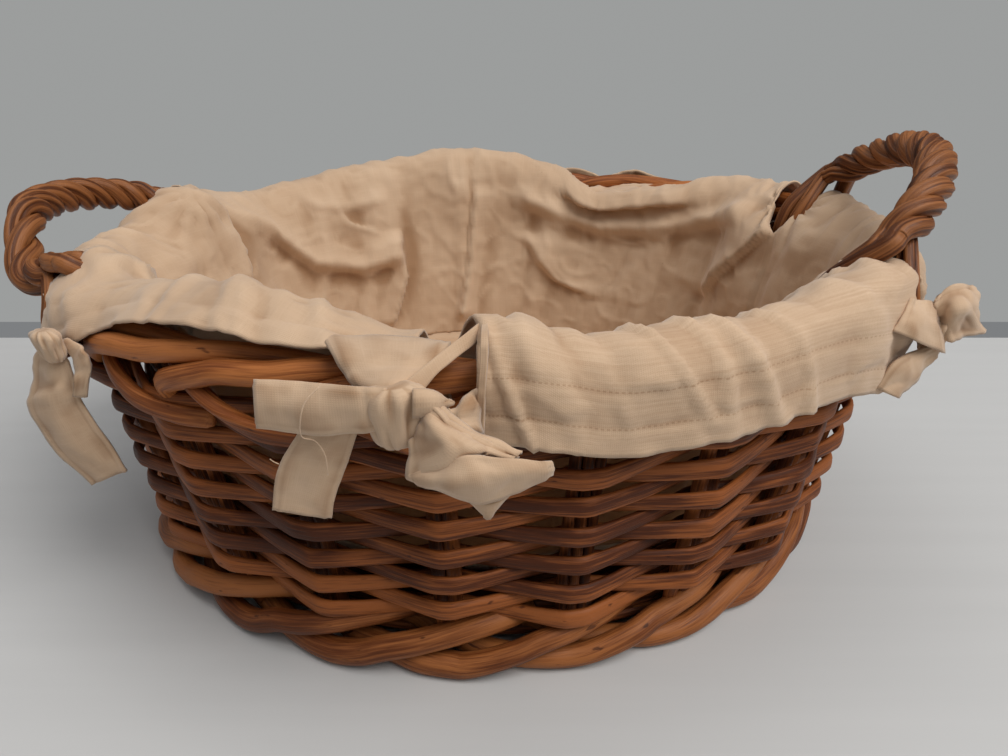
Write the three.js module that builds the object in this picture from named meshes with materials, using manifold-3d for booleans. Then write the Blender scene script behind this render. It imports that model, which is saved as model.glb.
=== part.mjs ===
// An oval willow basket with two twisted rope handles and a tied cotton lining, in millimetres.
// +Z is up, +X runs from handle to handle and -Y is the front, where the large bow hangs.
// The origin is on the ground, below the middle of the whole thing with its handles and bows.
import * as THREE from "three";
import { mergeVertices } from "three/addons/utils/BufferGeometryUtils.js";
import Module from "manifold-3d";

// Driving sizes of the basket body, measured to the middle of the woven wall
const RIM_HALF_LENGTH = 204;
const RIM_HALF_WIDTH = 170;
const FOOT_HALF_LENGTH = 179;
const FOOT_HALF_WIDTH = 146;
const RIM_HEIGHT = 161;
const RIM_TILT = 7; // this hand-made basket is this much higher at its right end than in the middle

// Pieces that lie against each other
const FIT_GAP = 0.3;

// Stakes and weavers
const STAKE_COUNT = 20;
const STAKE_RADIUS = 3;
const STAKE_SHIFT = 0.72; // turns the ring of stakes round the wall, in stake spacings
const ROW_COUNT = 14;
const ROW_THICKNESS = 5;
const ROW_GAP = 0.45;
const WEAVE_CLEARANCE = 0.8; // between a weaver's flat stretch and the stakes
const BEND_HALF = 9.5; // a weaver lies flat for this far each side of the middle of a pair of stakes

// Rolled borders at the rim and the foot, each a ring of twisted rods
const RIM_ROD_RADIUS = 5.6;
const RIM_ROD_COUNT = 2;
const RIM_TURNS = 10;
const FOOT_ROD_RADIUS = 6.8;
const FOOT_ROD_COUNT = 2;
const FOOT_TURNS = 10;
const FOOT_WEAR = 0.5; // worn off the underside, so that the basket stands on flat patches

// Base: an oval mat with a long stick in its underside and two cross sticks in its top
const STICK_SIZE = 6;
const CROSS_STICK_SPREAD = 150;
const MAT_THICKNESS = 9;
const MAT_UNDERSIDE = 10;

// Rope handles
const STRAND_RADIUS = 4.2;
const STRAND_COUNT = 3;
const ROPE_TURNS = 3;
const ROPE_SLACK = 1.3; // added to a strand's radius, so that the twisted strands stay clear
const RIGHT_FRONT_FOOT_Y = -102;
const RIGHT_REAR_FOOT_Y = 46;
const RIGHT_REACH = 32; // how far the top of the arch leans out past its feet
const RIGHT_RISE = 31;
const RIGHT_ARCH_ANGLE = 66; // the arch is this many degrees of a circle to each side of its top
const LEFT_FRONT_FOOT_Y = -84;
const LEFT_REAR_FOOT_Y = 54;
const LEFT_REACH = 47;
const LEFT_RISE = 14;
const LEFT_ARCH_ANGLE = 81;
const ROPE_START = 0.06; // the strands part this share of the arch before its ends
const INNER_LEG_DEPTH = 45; // how far the strands run down from the rim, inside and outside the wall
const OUTER_LEG_DEPTH = 28;

// Cotton lining: a bag of a bottom and a side panel, with six flaps turned down over the rim
const CLOTH = 1.6;
const PANEL_INSET = 14; // from the middle of the wall to the side panel
const PANEL_SEAM_HEIGHT = 50; // the baggy bottom panel curls up this far to its seam
const PANEL_JOIN_DROP = 29; // the flaps are sewn on this far below the rim
const FOLD_DEPTH = 2;
const PANEL_FOLDS = 11;
const FLAP_FOLDS = 14;
const FLAP_DROP = 38; // from the rim to the hem
const BACK_CREST_RISE = 12; // the cloth stands up this far above the border at the back left
const SLIPPED_CREST_RISE = 16; // the front left flap has slipped up and inwards, and ends on the border
const SLIPPED_CREST_LEAN = 18;
const SLIT_CLEARANCE = 7; // beside the strands in the slit at each foot of a handle
const TIED_GAP_HALF = 17; // half the gap between two flaps that a bow ties
const FRONT_GAP_X = -14;
const BACK_GAP_X = 75;

// Cotton ties
const TIE_WIDTH = 24;
const TIE_THICKNESS = 2.2;
const KNOT_DROP = 16; // from the rim to the middle of a knot
const KNOT_HALF_WIDTH = 12;
const KNOT_HALF_HEIGHT = 10;
const KNOT_HALF_DEPTH = 6.5;
const KNOT_STANDOFF = 3.4; // from the folds of the flaps to the back of a knot

const wasm = await Module();
wasm.setup();

const WILLOW = new THREE.MeshStandardMaterial({ color: 0x8a4a22, roughness: 0.55, metalness: 0 });
const WILLOW_PALE = new THREE.MeshStandardMaterial({ color: 0xa9662f, roughness: 0.5, metalness: 0 });
const COTTON = new THREE.MeshStandardMaterial({ color: 0xd2b898, roughness: 0.95, metalness: 0 });

const basket = new THREE.Group();

function addPiece(name, geometry, material) {
  const mesh = new THREE.Mesh(geometry, material);
  mesh.name = name;
  basket.add(mesh);
}

// The wall is a tapered oval. A place on it is its share of the way round (0 to 1, anticlockwise
// from +X), its height, its distance out from the middle of the wall and a distance along the wall.
const OVAL_STEPS = 720;
const ovalLengths = [0];
for (let i = 0; i < OVAL_STEPS; i++) {
  const angle = ((i + 0.5) / OVAL_STEPS) * 2 * Math.PI;
  const speed = Math.hypot(RIM_HALF_LENGTH * Math.sin(angle), RIM_HALF_WIDTH * Math.cos(angle));
  ovalLengths.push(ovalLengths[i] + (speed * 2 * Math.PI) / OVAL_STEPS);
}
const RIM_LENGTH = ovalLengths[OVAL_STEPS];

function angleAtShare(share) {
  const wanted = (share - Math.floor(share)) * RIM_LENGTH;
  let i = 0;
  while (ovalLengths[i + 1] < wanted) i++;
  const part = (wanted - ovalLengths[i]) / (ovalLengths[i + 1] - ovalLengths[i]);
  return ((i + part) / OVAL_STEPS) * 2 * Math.PI;
}

function shareAtAngle(angle) {
  const turns = angle / (2 * Math.PI);
  const place = (turns - Math.floor(turns)) * OVAL_STEPS;
  const i = Math.floor(place);
  return (ovalLengths[i] + (place - i) * (ovalLengths[i + 1] - ovalLengths[i])) / RIM_LENGTH;
}

function wallPoint(share, height, out, along = 0) {
  const angle = angleAtShare(share + along / RIM_LENGTH);
  const grown = height / RIM_HEIGHT;
  const a = FOOT_HALF_LENGTH + (RIM_HALF_LENGTH - FOOT_HALF_LENGTH) * grown;
  const b = FOOT_HALF_WIDTH + (RIM_HALF_WIDTH - FOOT_HALF_WIDTH) * grown;
  const normal = new THREE.Vector2(Math.cos(angle) / a, Math.sin(angle) / b).normalize();
  return new THREE.Vector3(
    a * Math.cos(angle) + normal.x * out,
    b * Math.sin(angle) + normal.y * out,
    height * (1 + (RIM_TILT / RIM_HEIGHT) * Math.cos(angle)),
  );
}

function ramp(value, from, to) {
  return THREE.MathUtils.clamp((value - from) / (to - from), 0, 1);
}

// Distance along the wall between two shares, the short way round
function alongBetween(from, to) {
  const turn = to - from;
  return (turn - Math.round(turn)) * RIM_LENGTH;
}

// A surface through rings of points: a closed loop of rings, or capped at the first and last ring.
// A cap joins the first point of its ring to the last and so on, which also closes a folded section.
function skin(rings, closed) {
  const sides = rings[0].length;
  const points = rings.flat();
  const faces = [];
  const bands = closed ? rings.length : rings.length - 1;
  for (let i = 0; i < bands; i++) {
    const next = (i + 1) % rings.length;
    for (let j = 0; j < sides; j++) {
      const beside = (j + 1) % sides;
      faces.push(i * sides + j, next * sides + j, next * sides + beside);
      faces.push(i * sides + j, next * sides + beside, i * sides + beside);
    }
  }
  if (!closed) {
    faces.push(...capFaces(0, sides));
    faces.push(...capFaces((rings.length - 1) * sides, sides).reverse());
  }
  const geometry = new THREE.BufferGeometry();
  geometry.setAttribute("position", new THREE.Float32BufferAttribute(points.flatMap((p) => p.toArray()), 3));
  geometry.setIndex(faces);
  return faceOutwards(geometry);
}

function capFaces(first, sides) {
  const faces = [];
  let low = first;
  let high = first + sides - 1;
  while (high - low > 1) {
    faces.push(low, low + 1, high);
    if (high - low > 2) faces.push(low + 1, high - 1, high);
    low++;
    high--;
  }
  return faces;
}

function faceOutwards(geometry) {
  const index = geometry.index.array;
  const at = (i) => new THREE.Vector3().fromBufferAttribute(geometry.attributes.position, index[i]);
  let volume = 0;
  for (let i = 0; i < index.length; i += 3) volume += at(i).dot(at(i + 1).cross(at(i + 2)));
  if (volume < 0) {
    for (let i = 0; i < index.length; i += 3) [index[i], index[i + 1]] = [index[i + 1], index[i]];
  }
  geometry.computeVertexNormals();
  return geometry;
}

// Joins and cuts with manifold-3d
function toSolid(geometry) {
  const bare = geometry.clone();
  bare.deleteAttribute("normal");
  bare.deleteAttribute("uv");
  const merged = mergeVertices(bare, 1e-4);
  return new wasm.Manifold(
    new wasm.Mesh({
      numProp: 3,
      vertProperties: new Float32Array(merged.attributes.position.array),
      triVerts: new Uint32Array(merged.index.array),
    }),
  );
}

function toGeometry(solid) {
  const mesh = solid.getMesh();
  const geometry = new THREE.BufferGeometry();
  geometry.setAttribute("position", new THREE.Float32BufferAttribute(Array.from(mesh.vertProperties), 3));
  geometry.setIndex(Array.from(mesh.triVerts));
  geometry.computeVertexNormals();
  return geometry;
}

// Borders: rods twisted round each other along the wall, as a ring. Where a stake meets the border, one
// of its rods is at its nearest to the stake.
const ROD_SIDES = 6;
const BORDER_STEPS_PER_STAKE = 3;
const BORDER_STEPS = BORDER_STEPS_PER_STAKE * STAKE_COUNT;

function stakeShare(stake) {
  return (stake + STAKE_SHIFT) / STAKE_COUNT;
}

// Distance from the middle of a border to the middle of its rods: straight steps between the
// stations cut the corners of the twist, so the rods lie that much further out.
function layRadius(radius, count, turns) {
  return (radius / Math.sin(Math.PI / count) + FIT_GAP) / Math.cos((Math.PI * turns) / BORDER_STEPS);
}

function borderRod(centre, lay, radius, count, turns, index, startAngle) {
  const rings = [];
  for (let i = 0; i < BORDER_STEPS; i++) {
    const twist = startAngle + 2 * Math.PI * ((turns * i) / BORDER_STEPS + index / count);
    const ring = [];
    for (let j = 0; j < ROD_SIDES; j++) {
      const turn = (j / ROD_SIDES) * 2 * Math.PI;
      ring.push(
        wallPoint(
          stakeShare(0) + i / BORDER_STEPS,
          centre + lay * Math.sin(twist) + radius * Math.sin(turn),
          lay * Math.cos(twist) + radius * Math.cos(turn),
        ),
      );
    }
    rings.push(ring);
  }
  return skin(rings, true);
}

const rimLay = layRadius(RIM_ROD_RADIUS, RIM_ROD_COUNT, RIM_TURNS);
const footLay = layRadius(FOOT_ROD_RADIUS, FOOT_ROD_COUNT, FOOT_TURNS);
const rodReach = Math.cos(Math.PI / ROD_SIDES); // of a rod's flat sides, which face up and down
const BORDER_RADIUS = rimLay + RIM_ROD_RADIUS;
const RIM_CENTRE = RIM_HEIGHT - rimLay - RIM_ROD_RADIUS * rodReach;
const RIM_UNDERSIDE = RIM_CENTRE - rimLay - RIM_ROD_RADIUS * rodReach;
const FOOT_CENTRE = footLay + FOOT_ROD_RADIUS * rodReach - FOOT_WEAR;
const FOOT_TOP = FOOT_CENTRE + footLay + FOOT_ROD_RADIUS * rodReach;

for (let index = 0; index < RIM_ROD_COUNT; index++) {
  const geometry = borderRod(
    RIM_CENTRE, rimLay, RIM_ROD_RADIUS, RIM_ROD_COUNT, RIM_TURNS, index, -Math.PI / 2,
  );
  addPiece(`rim_border_rod_${index + 1}`, geometry, WILLOW_PALE);
}

const groundSize = 4 * RIM_HALF_LENGTH;
const ground = toSolid(
  new THREE.BoxGeometry(groundSize, groundSize, groundSize).translate(0, 0, -groundSize / 2),
);
for (let index = 0; index < FOOT_ROD_COUNT; index++) {
  const round = borderRod(
    FOOT_CENTRE, footLay, FOOT_ROD_RADIUS, FOOT_ROD_COUNT, FOOT_TURNS, index, Math.PI / 2,
  );
  addPiece(`foot_border_rod_${index + 1}`, toGeometry(toSolid(round).subtract(ground)), WILLOW_PALE);
}

// Stakes: upright rods side by side in pairs, fused at their touching sides, from border to border
function stakePair(stake) {
  const outline = [];
  for (const side of [1, -1]) {
    for (let i = -2; i <= 2; i++) {
      const turn = (i * Math.PI) / 4;
      outline.push([
        side * STAKE_RADIUS * (1 + Math.cos(turn)),
        side * STAKE_RADIUS * Math.sin(turn),
      ]);
    }
  }
  const ringAt = (height) => outline.map(([along, out]) => wallPoint(stakeShare(stake), height, out, along));
  return skin([ringAt(FOOT_TOP + FIT_GAP), ringAt(RIM_UNDERSIDE - FIT_GAP)], false);
}

for (let stake = 0; stake < STAKE_COUNT; stake++) {
  addPiece(`stake_pair_${String(stake + 1).padStart(2, "0")}`, stakePair(stake), WILLOW);
}

// Weavers: each row passes outside one pair of stakes and inside the next, opposite to the row below
const rowPitch = (RIM_UNDERSIDE - FOOT_TOP) / ROW_COUNT;
const rowHeight = rowPitch - ROW_GAP;
const WEAVE_SWING = STAKE_RADIUS + WEAVE_CLEARANCE + ROW_THICKNESS / 2;

function weaverRow(row) {
  const middle = FOOT_TOP + (row + 0.5) * rowPitch;
  const section = [
    [-ROW_THICKNESS / 2, -rowHeight / 2],
    [ROW_THICKNESS / 2, -rowHeight / 4],
    [ROW_THICKNESS / 2, rowHeight / 4],
    [-ROW_THICKNESS / 2, rowHeight / 2],
  ];
  const rings = [];
  for (let stake = 0; stake < STAKE_COUNT; stake++) {
    const swing = (stake + row) % 2 ? WEAVE_SWING : -WEAVE_SWING;
    for (const along of [-BEND_HALF, BEND_HALF]) {
      rings.push(section.map(([out, up]) => wallPoint(stakeShare(stake), middle + up, swing + out, along)));
    }
  }
  return skin(rings, true);
}

for (let row = 0; row < ROW_COUNT; row++) {
  addPiece(`weaver_row_${String(row + 1).padStart(2, "0")}`, weaverRow(row), WILLOW);
}

// Base: the mat fits inside the foot border, and the sticks lie half sunk in grooves in it
const MAT_OUT = -(footLay + FOOT_ROD_RADIUS + FIT_GAP);
const MAT_STEPS = 54;

function matRing(height) {
  const ring = [];
  for (let i = 0; i < MAT_STEPS; i++) {
    const point = wallPoint(i / MAT_STEPS, 0, MAT_OUT);
    ring.push(new THREE.Vector3(point.x, point.y, height));
  }
  return ring;
}

function stick(lengthwise, offset, bottom, clearance) {
  const halfLength = (lengthwise ? FOOT_HALF_LENGTH : FOOT_HALF_WIDTH) + MAT_OUT;
  const otherHalf = (lengthwise ? FOOT_HALF_WIDTH : FOOT_HALF_LENGTH) + MAT_OUT;
  const reach = halfLength * Math.sqrt(1 - (offset / otherHalf) ** 2) - STICK_SIZE;
  const size = STICK_SIZE + 2 * clearance;
  const box = new THREE.BoxGeometry(2 * (reach + clearance), size, size);
  if (!lengthwise) box.rotateZ(Math.PI / 2);
  return box.translate(lengthwise ? 0 : offset, lengthwise ? offset : 0, bottom + STICK_SIZE / 2);
}

const stickMeet = MAT_UNDERSIDE + MAT_THICKNESS / 2;
const STICKS = [
  ["base_long_stick", true, 0, stickMeet - FIT_GAP / 2 - STICK_SIZE],
  ["base_cross_stick_left", false, -CROSS_STICK_SPREAD / 2, stickMeet + FIT_GAP / 2],
  ["base_cross_stick_right", false, CROSS_STICK_SPREAD / 2, stickMeet + FIT_GAP / 2],
];
let mat = toSolid(skin([matRing(MAT_UNDERSIDE), matRing(MAT_UNDERSIDE + MAT_THICKNESS)], false));
for (const [name, lengthwise, offset, bottom] of STICKS) {
  mat = mat.subtract(toSolid(stick(lengthwise, offset, bottom, FIT_GAP)));
  addPiece(name, stick(lengthwise, offset, bottom, 0), WILLOW_PALE);
}
addPiece("base_mat", toGeometry(mat), WILLOW);
const BASE_TOP = stickMeet + FIT_GAP / 2 + STICK_SIZE;

// Handles: three strands twisted over an arch. Near each foot they part: the first strand runs down
// outside the border, and the other two run on over it and down inside it, side by side.
const ropeLay = (STRAND_RADIUS + ROPE_SLACK) / Math.sin(Math.PI / STRAND_COUNT);
const LEG_OUT = BORDER_RADIUS + STRAND_RADIUS + FIT_GAP;
const LEG_SHOULDER = LEG_OUT * 1.04; // a strand swings this far out on its way round the border
const TIGHTEST_BEND = RIM_HALF_WIDTH ** 2 / RIM_HALF_LENGTH; // radius of the oval at its ends
const LEG_SPREAD = (STRAND_RADIUS + 2 * FIT_GAP) / (1 - (LEG_OUT + STRAND_RADIUS) / TIGHTEST_BEND);
const ROPE_FOOT = RIM_CENTRE + LEG_OUT + ropeLay;
const ROPE_POINTS_PER_TURN = 10;
const STRAND_STEPS = 40;

function footShare(side, y) {
  const angle = Math.asin(y / RIM_HALF_WIDTH);
  return shareAtAngle(side > 0 ? angle : Math.PI - angle);
}

const HANDLES = [
  {
    name: "left",
    side: -1,
    feet: [footShare(-1, LEFT_FRONT_FOOT_Y), footShare(-1, LEFT_REAR_FOOT_Y)],
    reach: LEFT_REACH,
    rise: LEFT_RISE,
    archAngle: THREE.MathUtils.degToRad(LEFT_ARCH_ANGLE),
  },
  {
    name: "right",
    side: 1,
    feet: [footShare(1, RIGHT_FRONT_FOOT_Y), footShare(1, RIGHT_REAR_FOOT_Y)],
    reach: RIGHT_REACH,
    rise: RIGHT_RISE,
    archAngle: THREE.MathUtils.degToRad(RIGHT_ARCH_ANGLE),
  },
];

// A strand's way past the border, from the rope down: distance outwards and height
function legWay(outside) {
  const side = outside ? 1 : -1;
  const bottom = RIM_HEIGHT - (outside ? OUTER_LEG_DEPTH : INNER_LEG_DEPTH);
  return [
    [side * LEG_SHOULDER * Math.cos(0.7), RIM_CENTRE + LEG_SHOULDER * Math.sin(0.7)],
    [side * LEG_SHOULDER, RIM_CENTRE],
    [side * LEG_OUT, (RIM_CENTRE + bottom) / 2],
    [side * LEG_OUT, bottom],
  ];
}

function strandPoints({ side, feet: shares, reach, rise, archAngle }, index) {
  const feet = shares.map((share) => wallPoint(share, ROPE_FOOT, 0));
  const middle = feet[0].clone().add(feet[1]).divideScalar(2);
  const across = feet[1].clone().sub(feet[0]).divideScalar(2);
  const lean = new THREE.Vector3(side * reach, 0, rise);
  const arch = (s) => {
    const angle = (2 * s - 1) * archAngle;
    return middle
      .clone()
      .addScaledVector(across, Math.sin(angle) / Math.sin(archAngle))
      .addScaledVector(lean, (Math.cos(angle) - Math.cos(archAngle)) / (1 - Math.cos(archAngle)));
  };
  const outer = new THREE.Vector3().crossVectors(lean, across).normalize();
  if (outer.z > 0) outer.negate();
  const points = [];
  const steps = ROPE_POINTS_PER_TURN * ROPE_TURNS;
  for (let i = 0; i <= steps; i++) {
    const s = i / steps;
    const forward = arch(Math.min(1, s + 0.01)).sub(arch(Math.max(0, s - 0.01))).normalize();
    const beside = new THREE.Vector3().crossVectors(forward, outer);
    const twist = -2 * Math.PI * (ROPE_TURNS * ramp(s, ROPE_START, 1 - ROPE_START) + index / STRAND_COUNT);
    if (index === 0 && Math.min(s, 1 - s) < ROPE_START) continue;
    points.push(
      arch(s)
        .addScaledVector(outer, ropeLay * Math.cos(twist))
        .addScaledVector(beside, ropeLay * Math.sin(twist)),
    );
  }
  const spread = [0, LEG_SPREAD, -LEG_SPREAD][index];
  for (const end of [-1, 1]) {
    const leg = legWay(index === 0).map(([out, height]) =>
      wallPoint(shares[(end + 1) / 2], height, out, end * spread),
    );
    if (end < 0) points.unshift(...leg.reverse());
    else points.push(...leg);
  }
  return points;
}

function strand(points) {
  const curve = new THREE.CatmullRomCurve3(points, false, "centripetal");
  const frames = curve.computeFrenetFrames(STRAND_STEPS, false);
  const rings = [];
  for (let i = 0; i <= STRAND_STEPS; i++) {
    const ring = [];
    for (let j = 0; j < ROD_SIDES; j++) {
      const turn = (j / ROD_SIDES) * 2 * Math.PI;
      ring.push(
        curve
          .getPointAt(i / STRAND_STEPS)
          .addScaledVector(frames.normals[i], Math.cos(turn) * STRAND_RADIUS)
          .addScaledVector(frames.binormals[i], Math.sin(turn) * STRAND_RADIUS),
      );
    }
    rings.push(ring);
  }
  return skin(rings, false);
}

for (const handle of HANDLES) {
  for (let index = 0; index < STRAND_COUNT; index++) {
    addPiece(`${handle.name}_handle_strand_${index + 1}`, strand(strandPoints(handle, index)), WILLOW_PALE);
  }
}

// Lining. The side panel hangs inside the wall and bulges round the legs of the handles.
const PANEL_STATIONS = 48;
const PANEL_JOIN = RIM_HEIGHT - PANEL_JOIN_DROP;
const BULGE_INSET = LEG_OUT + STRAND_RADIUS + FIT_GAP + CLOTH / 2;
const bulgeHalf = LEG_SPREAD + STRAND_RADIUS + RIM_LENGTH / PANEL_STATIONS;
const [leftHandle, rightHandle] = HANDLES;
const footShares = [...rightHandle.feet, ...leftHandle.feet.toReversed()];

function panelInset(share, height) {
  const fold = FOLD_DEPTH * Math.sin(2 * Math.PI * PANEL_FOLDS * share);
  const nearest = Math.min(...footShares.map((foot) => Math.abs(alongBetween(foot, share))));
  const bulge =
    ramp(nearest, bulgeHalf * 1.7, bulgeHalf) *
    ramp(height, PANEL_SEAM_HEIGHT, RIM_HEIGHT - INNER_LEG_DEPTH - STRAND_RADIUS);
  return THREE.MathUtils.lerp(PANEL_INSET + fold, BULGE_INSET, bulge);
}

// Cloth along the wall: at each share it follows a line of [out, height] points
function clothBand(shares, lineAt, closed) {
  const rings = shares.map((share) => {
    const line = lineAt(share);
    const front = [];
    const back = [];
    line.forEach(([out, height], i) => {
      const before = line[Math.max(0, i - 1)];
      const after = line[Math.min(line.length - 1, i + 1)];
      const length = Math.hypot(after[0] - before[0], after[1] - before[1]);
      const sideways = ((before[1] - after[1]) / length) * (CLOTH / 2);
      const upwards = ((after[0] - before[0]) / length) * (CLOTH / 2);
      front.push(wallPoint(share, height + upwards, out + sideways));
      back.push(wallPoint(share, height - upwards, out - sideways));
    });
    return [...front, ...back.reverse()];
  });
  return skin(rings, closed);
}

const panelTop = PANEL_JOIN - FIT_GAP / 2;
const bulgeBottom = RIM_HEIGHT - INNER_LEG_DEPTH - STRAND_RADIUS;
const panelHeights = [
  PANEL_SEAM_HEIGHT,
  (PANEL_SEAM_HEIGHT + bulgeBottom) / 2,
  bulgeBottom,
  panelTop,
];
const panelShares = Array.from({ length: PANEL_STATIONS }, (_, i) => i / PANEL_STATIONS);
const panelLine = (share) => panelHeights.map((height) => [-panelInset(share, height), height]);
addPiece("lining_side_panel", clothBand(panelShares, panelLine, true), COTTON);

// The bottom panel rests on the base in the middle and curls up to its seam with the side panel
function bottomPanel() {
  const flat = BASE_TOP + FIT_GAP;
  const rise = PANEL_SEAM_HEIGHT - FIT_GAP - CLOTH / 2 - flat;
  const ringAt = (size, lift, thickness) =>
    panelShares.map((share) => {
      const edge = wallPoint(share, PANEL_SEAM_HEIGHT, -panelInset(share, PANEL_SEAM_HEIGHT));
      const bottom = flat + rise * lift;
      return new THREE.Vector3(edge.x * size, edge.y * size, bottom + thickness + (edge.z - PANEL_SEAM_HEIGHT) * lift);
    });
  const steps = [[0.7, 0], [0.92, 0.35], [1, 1]];
  const under = steps.map(([size, lift]) => ringAt(size, lift, 0));
  const over = steps.map(([size, lift]) => ringAt(size - (CLOTH / RIM_HALF_LENGTH) * lift, lift, CLOTH / 2));
  return skin([...under, ...over.reverse()], false);
}
addPiece("lining_bottom_panel", bottomPanel(), COTTON);

// Flaps: each is sewn to the side panel, arches over the rim and hangs outside down to its hem.
// The slipped one leans inwards and ends on top of the border.
const slitHalf = LEG_SPREAD + STRAND_RADIUS + SLIT_CLEARANCE;
const frontGap = shareAtAngle(-Math.acos(FRONT_GAP_X / RIM_HALF_LENGTH));
const backGap = shareAtAngle(Math.acos(BACK_GAP_X / RIM_HALF_LENGTH));
const ARC_STEP = THREE.MathUtils.degToRad(33); // cloth bends over the rim in straight steps
const overRim = (BORDER_RADIUS + 2 * FIT_GAP + CLOTH / 2) / Math.cos(ARC_STEP / 2);
const wallTaper = (RIM_HALF_LENGTH - FOOT_HALF_LENGTH) / RIM_HEIGHT;
const FLAP_STATION_SPACING = 20;

function flapLine(share, rise, lean) {
  const line = [[-panelInset(share, panelTop), PANEL_JOIN + FIT_GAP]];
  if (lean > 0) line.push([-panelInset(share, panelTop), PANEL_JOIN + 2 * FOLD_DEPTH]);
  const lastTurn = lean > 0 ? ARC_STEP : 0;
  for (let turn = 5 * ARC_STEP; turn > lastTurn - ARC_STEP / 2; turn -= ARC_STEP) {
    line.push([
      (overRim + lean / 2) * Math.cos(turn) - lean / 2,
      RIM_CENTRE + (overRim + rise) * Math.sin(turn),
    ]);
  }
  if (lean > 0) return line;
  const hem = RIM_HEIGHT - FLAP_DROP;
  const hang = RIM_CENTRE - hem;
  const fold = FOLD_DEPTH * Math.sin(2 * Math.PI * FLAP_FOLDS * share);
  for (const part of [0.5, 1]) {
    line.push([overRim + (hang * wallTaper + FOLD_DEPTH + fold) * part, RIM_CENTRE - hang * part]);
  }
  return line;
}

const FLAPS = [
  ["front_right", frontGap, TIED_GAP_HALF, footShares[0], slitHalf, 0, 0],
  ["right_end", footShares[0], slitHalf, footShares[1], slitHalf, 0, 0],
  ["back_right", footShares[1], slitHalf, backGap, TIED_GAP_HALF, 0, 0],
  ["back_left", backGap, TIED_GAP_HALF, footShares[2], slitHalf, BACK_CREST_RISE, 0],
  ["left_end", footShares[2], slitHalf, footShares[3], slitHalf, 0, 0],
  ["front_left", footShares[3], slitHalf, frontGap, TIED_GAP_HALF, SLIPPED_CREST_RISE, SLIPPED_CREST_LEAN],
];
for (const [name, from, fromHalf, to, toHalf, rise, lean] of FLAPS) {
  const turn = to - from;
  const length = (turn - Math.floor(turn)) * RIM_LENGTH - fromHalf - toHalf;
  const steps = Math.ceil(length / FLAP_STATION_SPACING);
  const shares = [];
  for (let i = 0; i <= steps; i++) shares.push(from + (fromHalf + (length * i) / steps) / RIM_LENGTH);
  addPiece(`lining_flap_${name}`, clothBand(shares, (share) => flapLine(share, rise, lean), false), COTTON);
}

// Bows: a knot with ribbons. Each ribbon follows [along, out, up] points from the knot, and its width
// lies in the direction of a second list of vectors.
function ribbon(share, height, path, width, widthAlong, widthUp) {
  const curve = new THREE.CatmullRomCurve3(path.map((p) => new THREE.Vector3(...p)));
  const steps = 2 * (path.length - 1);
  const across = new THREE.Vector3(widthAlong, 0, widthUp).normalize();
  const rings = [];
  for (let i = 0; i <= steps; i++) {
    const centre = curve.getPoint(i / steps);
    const normal = curve.getTangent(i / steps).cross(across).normalize();
    const ring = [];
    for (const [side, face] of [[-1, -1], [1, -1], [1, 1], [-1, 1]]) {
      const p = centre
        .clone()
        .addScaledVector(across, (side * width) / 2)
        .addScaledVector(normal, (face * TIE_THICKNESS) / 2);
      ring.push(wallPoint(share, height + p.z, p.y, p.x));
    }
    rings.push(ring);
  }
  return toSolid(skin(rings, false));
}

function knot(share, height, out) {
  const ball = new THREE.SphereGeometry(1, 8, 6).rotateX(Math.PI / 2);
  const points = ball.attributes.position;
  for (let i = 0; i < points.count; i++) {
    const p = wallPoint(
      share,
      height + points.getZ(i) * KNOT_HALF_HEIGHT,
      out + points.getY(i) * KNOT_HALF_DEPTH,
      points.getX(i) * KNOT_HALF_WIDTH,
    );
    points.setXYZ(i, p.x, p.y, p.z);
  }
  return toSolid(faceOutwards(ball));
}

function bow(name, share, height, out, ribbons) {
  let solid = knot(share, height, out);
  for (const [path, width, widthAlong, widthUp] of ribbons) {
    solid = solid.add(ribbon(share, height, path, width, widthAlong, widthUp));
  }
  addPiece(name, toGeometry(solid), COTTON);
}

// Over a tied gap the knot hangs below the rim on a strap that comes over it from the lining
const tieSag = TIE_WIDTH ** 2 / (8 * TIGHTEST_BEND); // a tie lies straight across the curved border
const tieOver = BORDER_RADIUS + FIT_GAP + tieSag + TIE_THICKNESS / 2;
const knotHeight = RIM_HEIGHT - KNOT_DROP;
const knotOut = overRim + 2 * FOLD_DEPTH + KNOT_STANDOFF + KNOT_HALF_DEPTH;

function overStrap() {
  const path = [[0, -tieOver, RIM_CENTRE - knotHeight]];
  for (const angle of [135, 90, 45, 0]) {
    const turn = THREE.MathUtils.degToRad(angle);
    path.push([0, tieOver * Math.cos(turn), RIM_CENTRE + tieOver * Math.sin(turn) - knotHeight]);
  }
  path.push([0, knotOut, 0]);
  return [path, TIE_WIDTH, 1, 0];
}

const loopOut = knotOut + FOLD_DEPTH;
const FRONT_RIBBONS = [
  overStrap(),
  [[[0, knotOut, 0], [-26, knotOut + 2, 3], [-50, knotOut, 0]], TIE_WIDTH, 0, 1],
  [[[0, knotOut, 0], [-18, knotOut, -20], [-34, knotOut - 2, -44]], TIE_WIDTH, 1, -0.4],
  [[[0, loopOut, 0], [20, loopOut + 4, -12], [38, loopOut + 3, -22], [44, loopOut - 2, -24]], TIE_WIDTH, 0.5, 1],
];
const BACK_RIBBONS = [
  overStrap(),
  [[[0, knotOut, 0], [-24, loopOut + 3, 6], [-44, loopOut + 2, 0]], TIE_WIDTH, 0, 1],
  [[[0, knotOut, 0], [24, loopOut + 3, 6], [44, loopOut + 2, 0]], TIE_WIDTH, 0, 1],
  [[[0, knotOut, 0], [6, knotOut, -28], [14, knotOut - 2, -56]], TIE_WIDTH, 1, 0],
];
bow("bow_front", frontGap, knotHeight, knotOut, FRONT_RIBBONS);
bow("bow_back", backGap, knotHeight, knotOut, BACK_RIBBONS);

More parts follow.
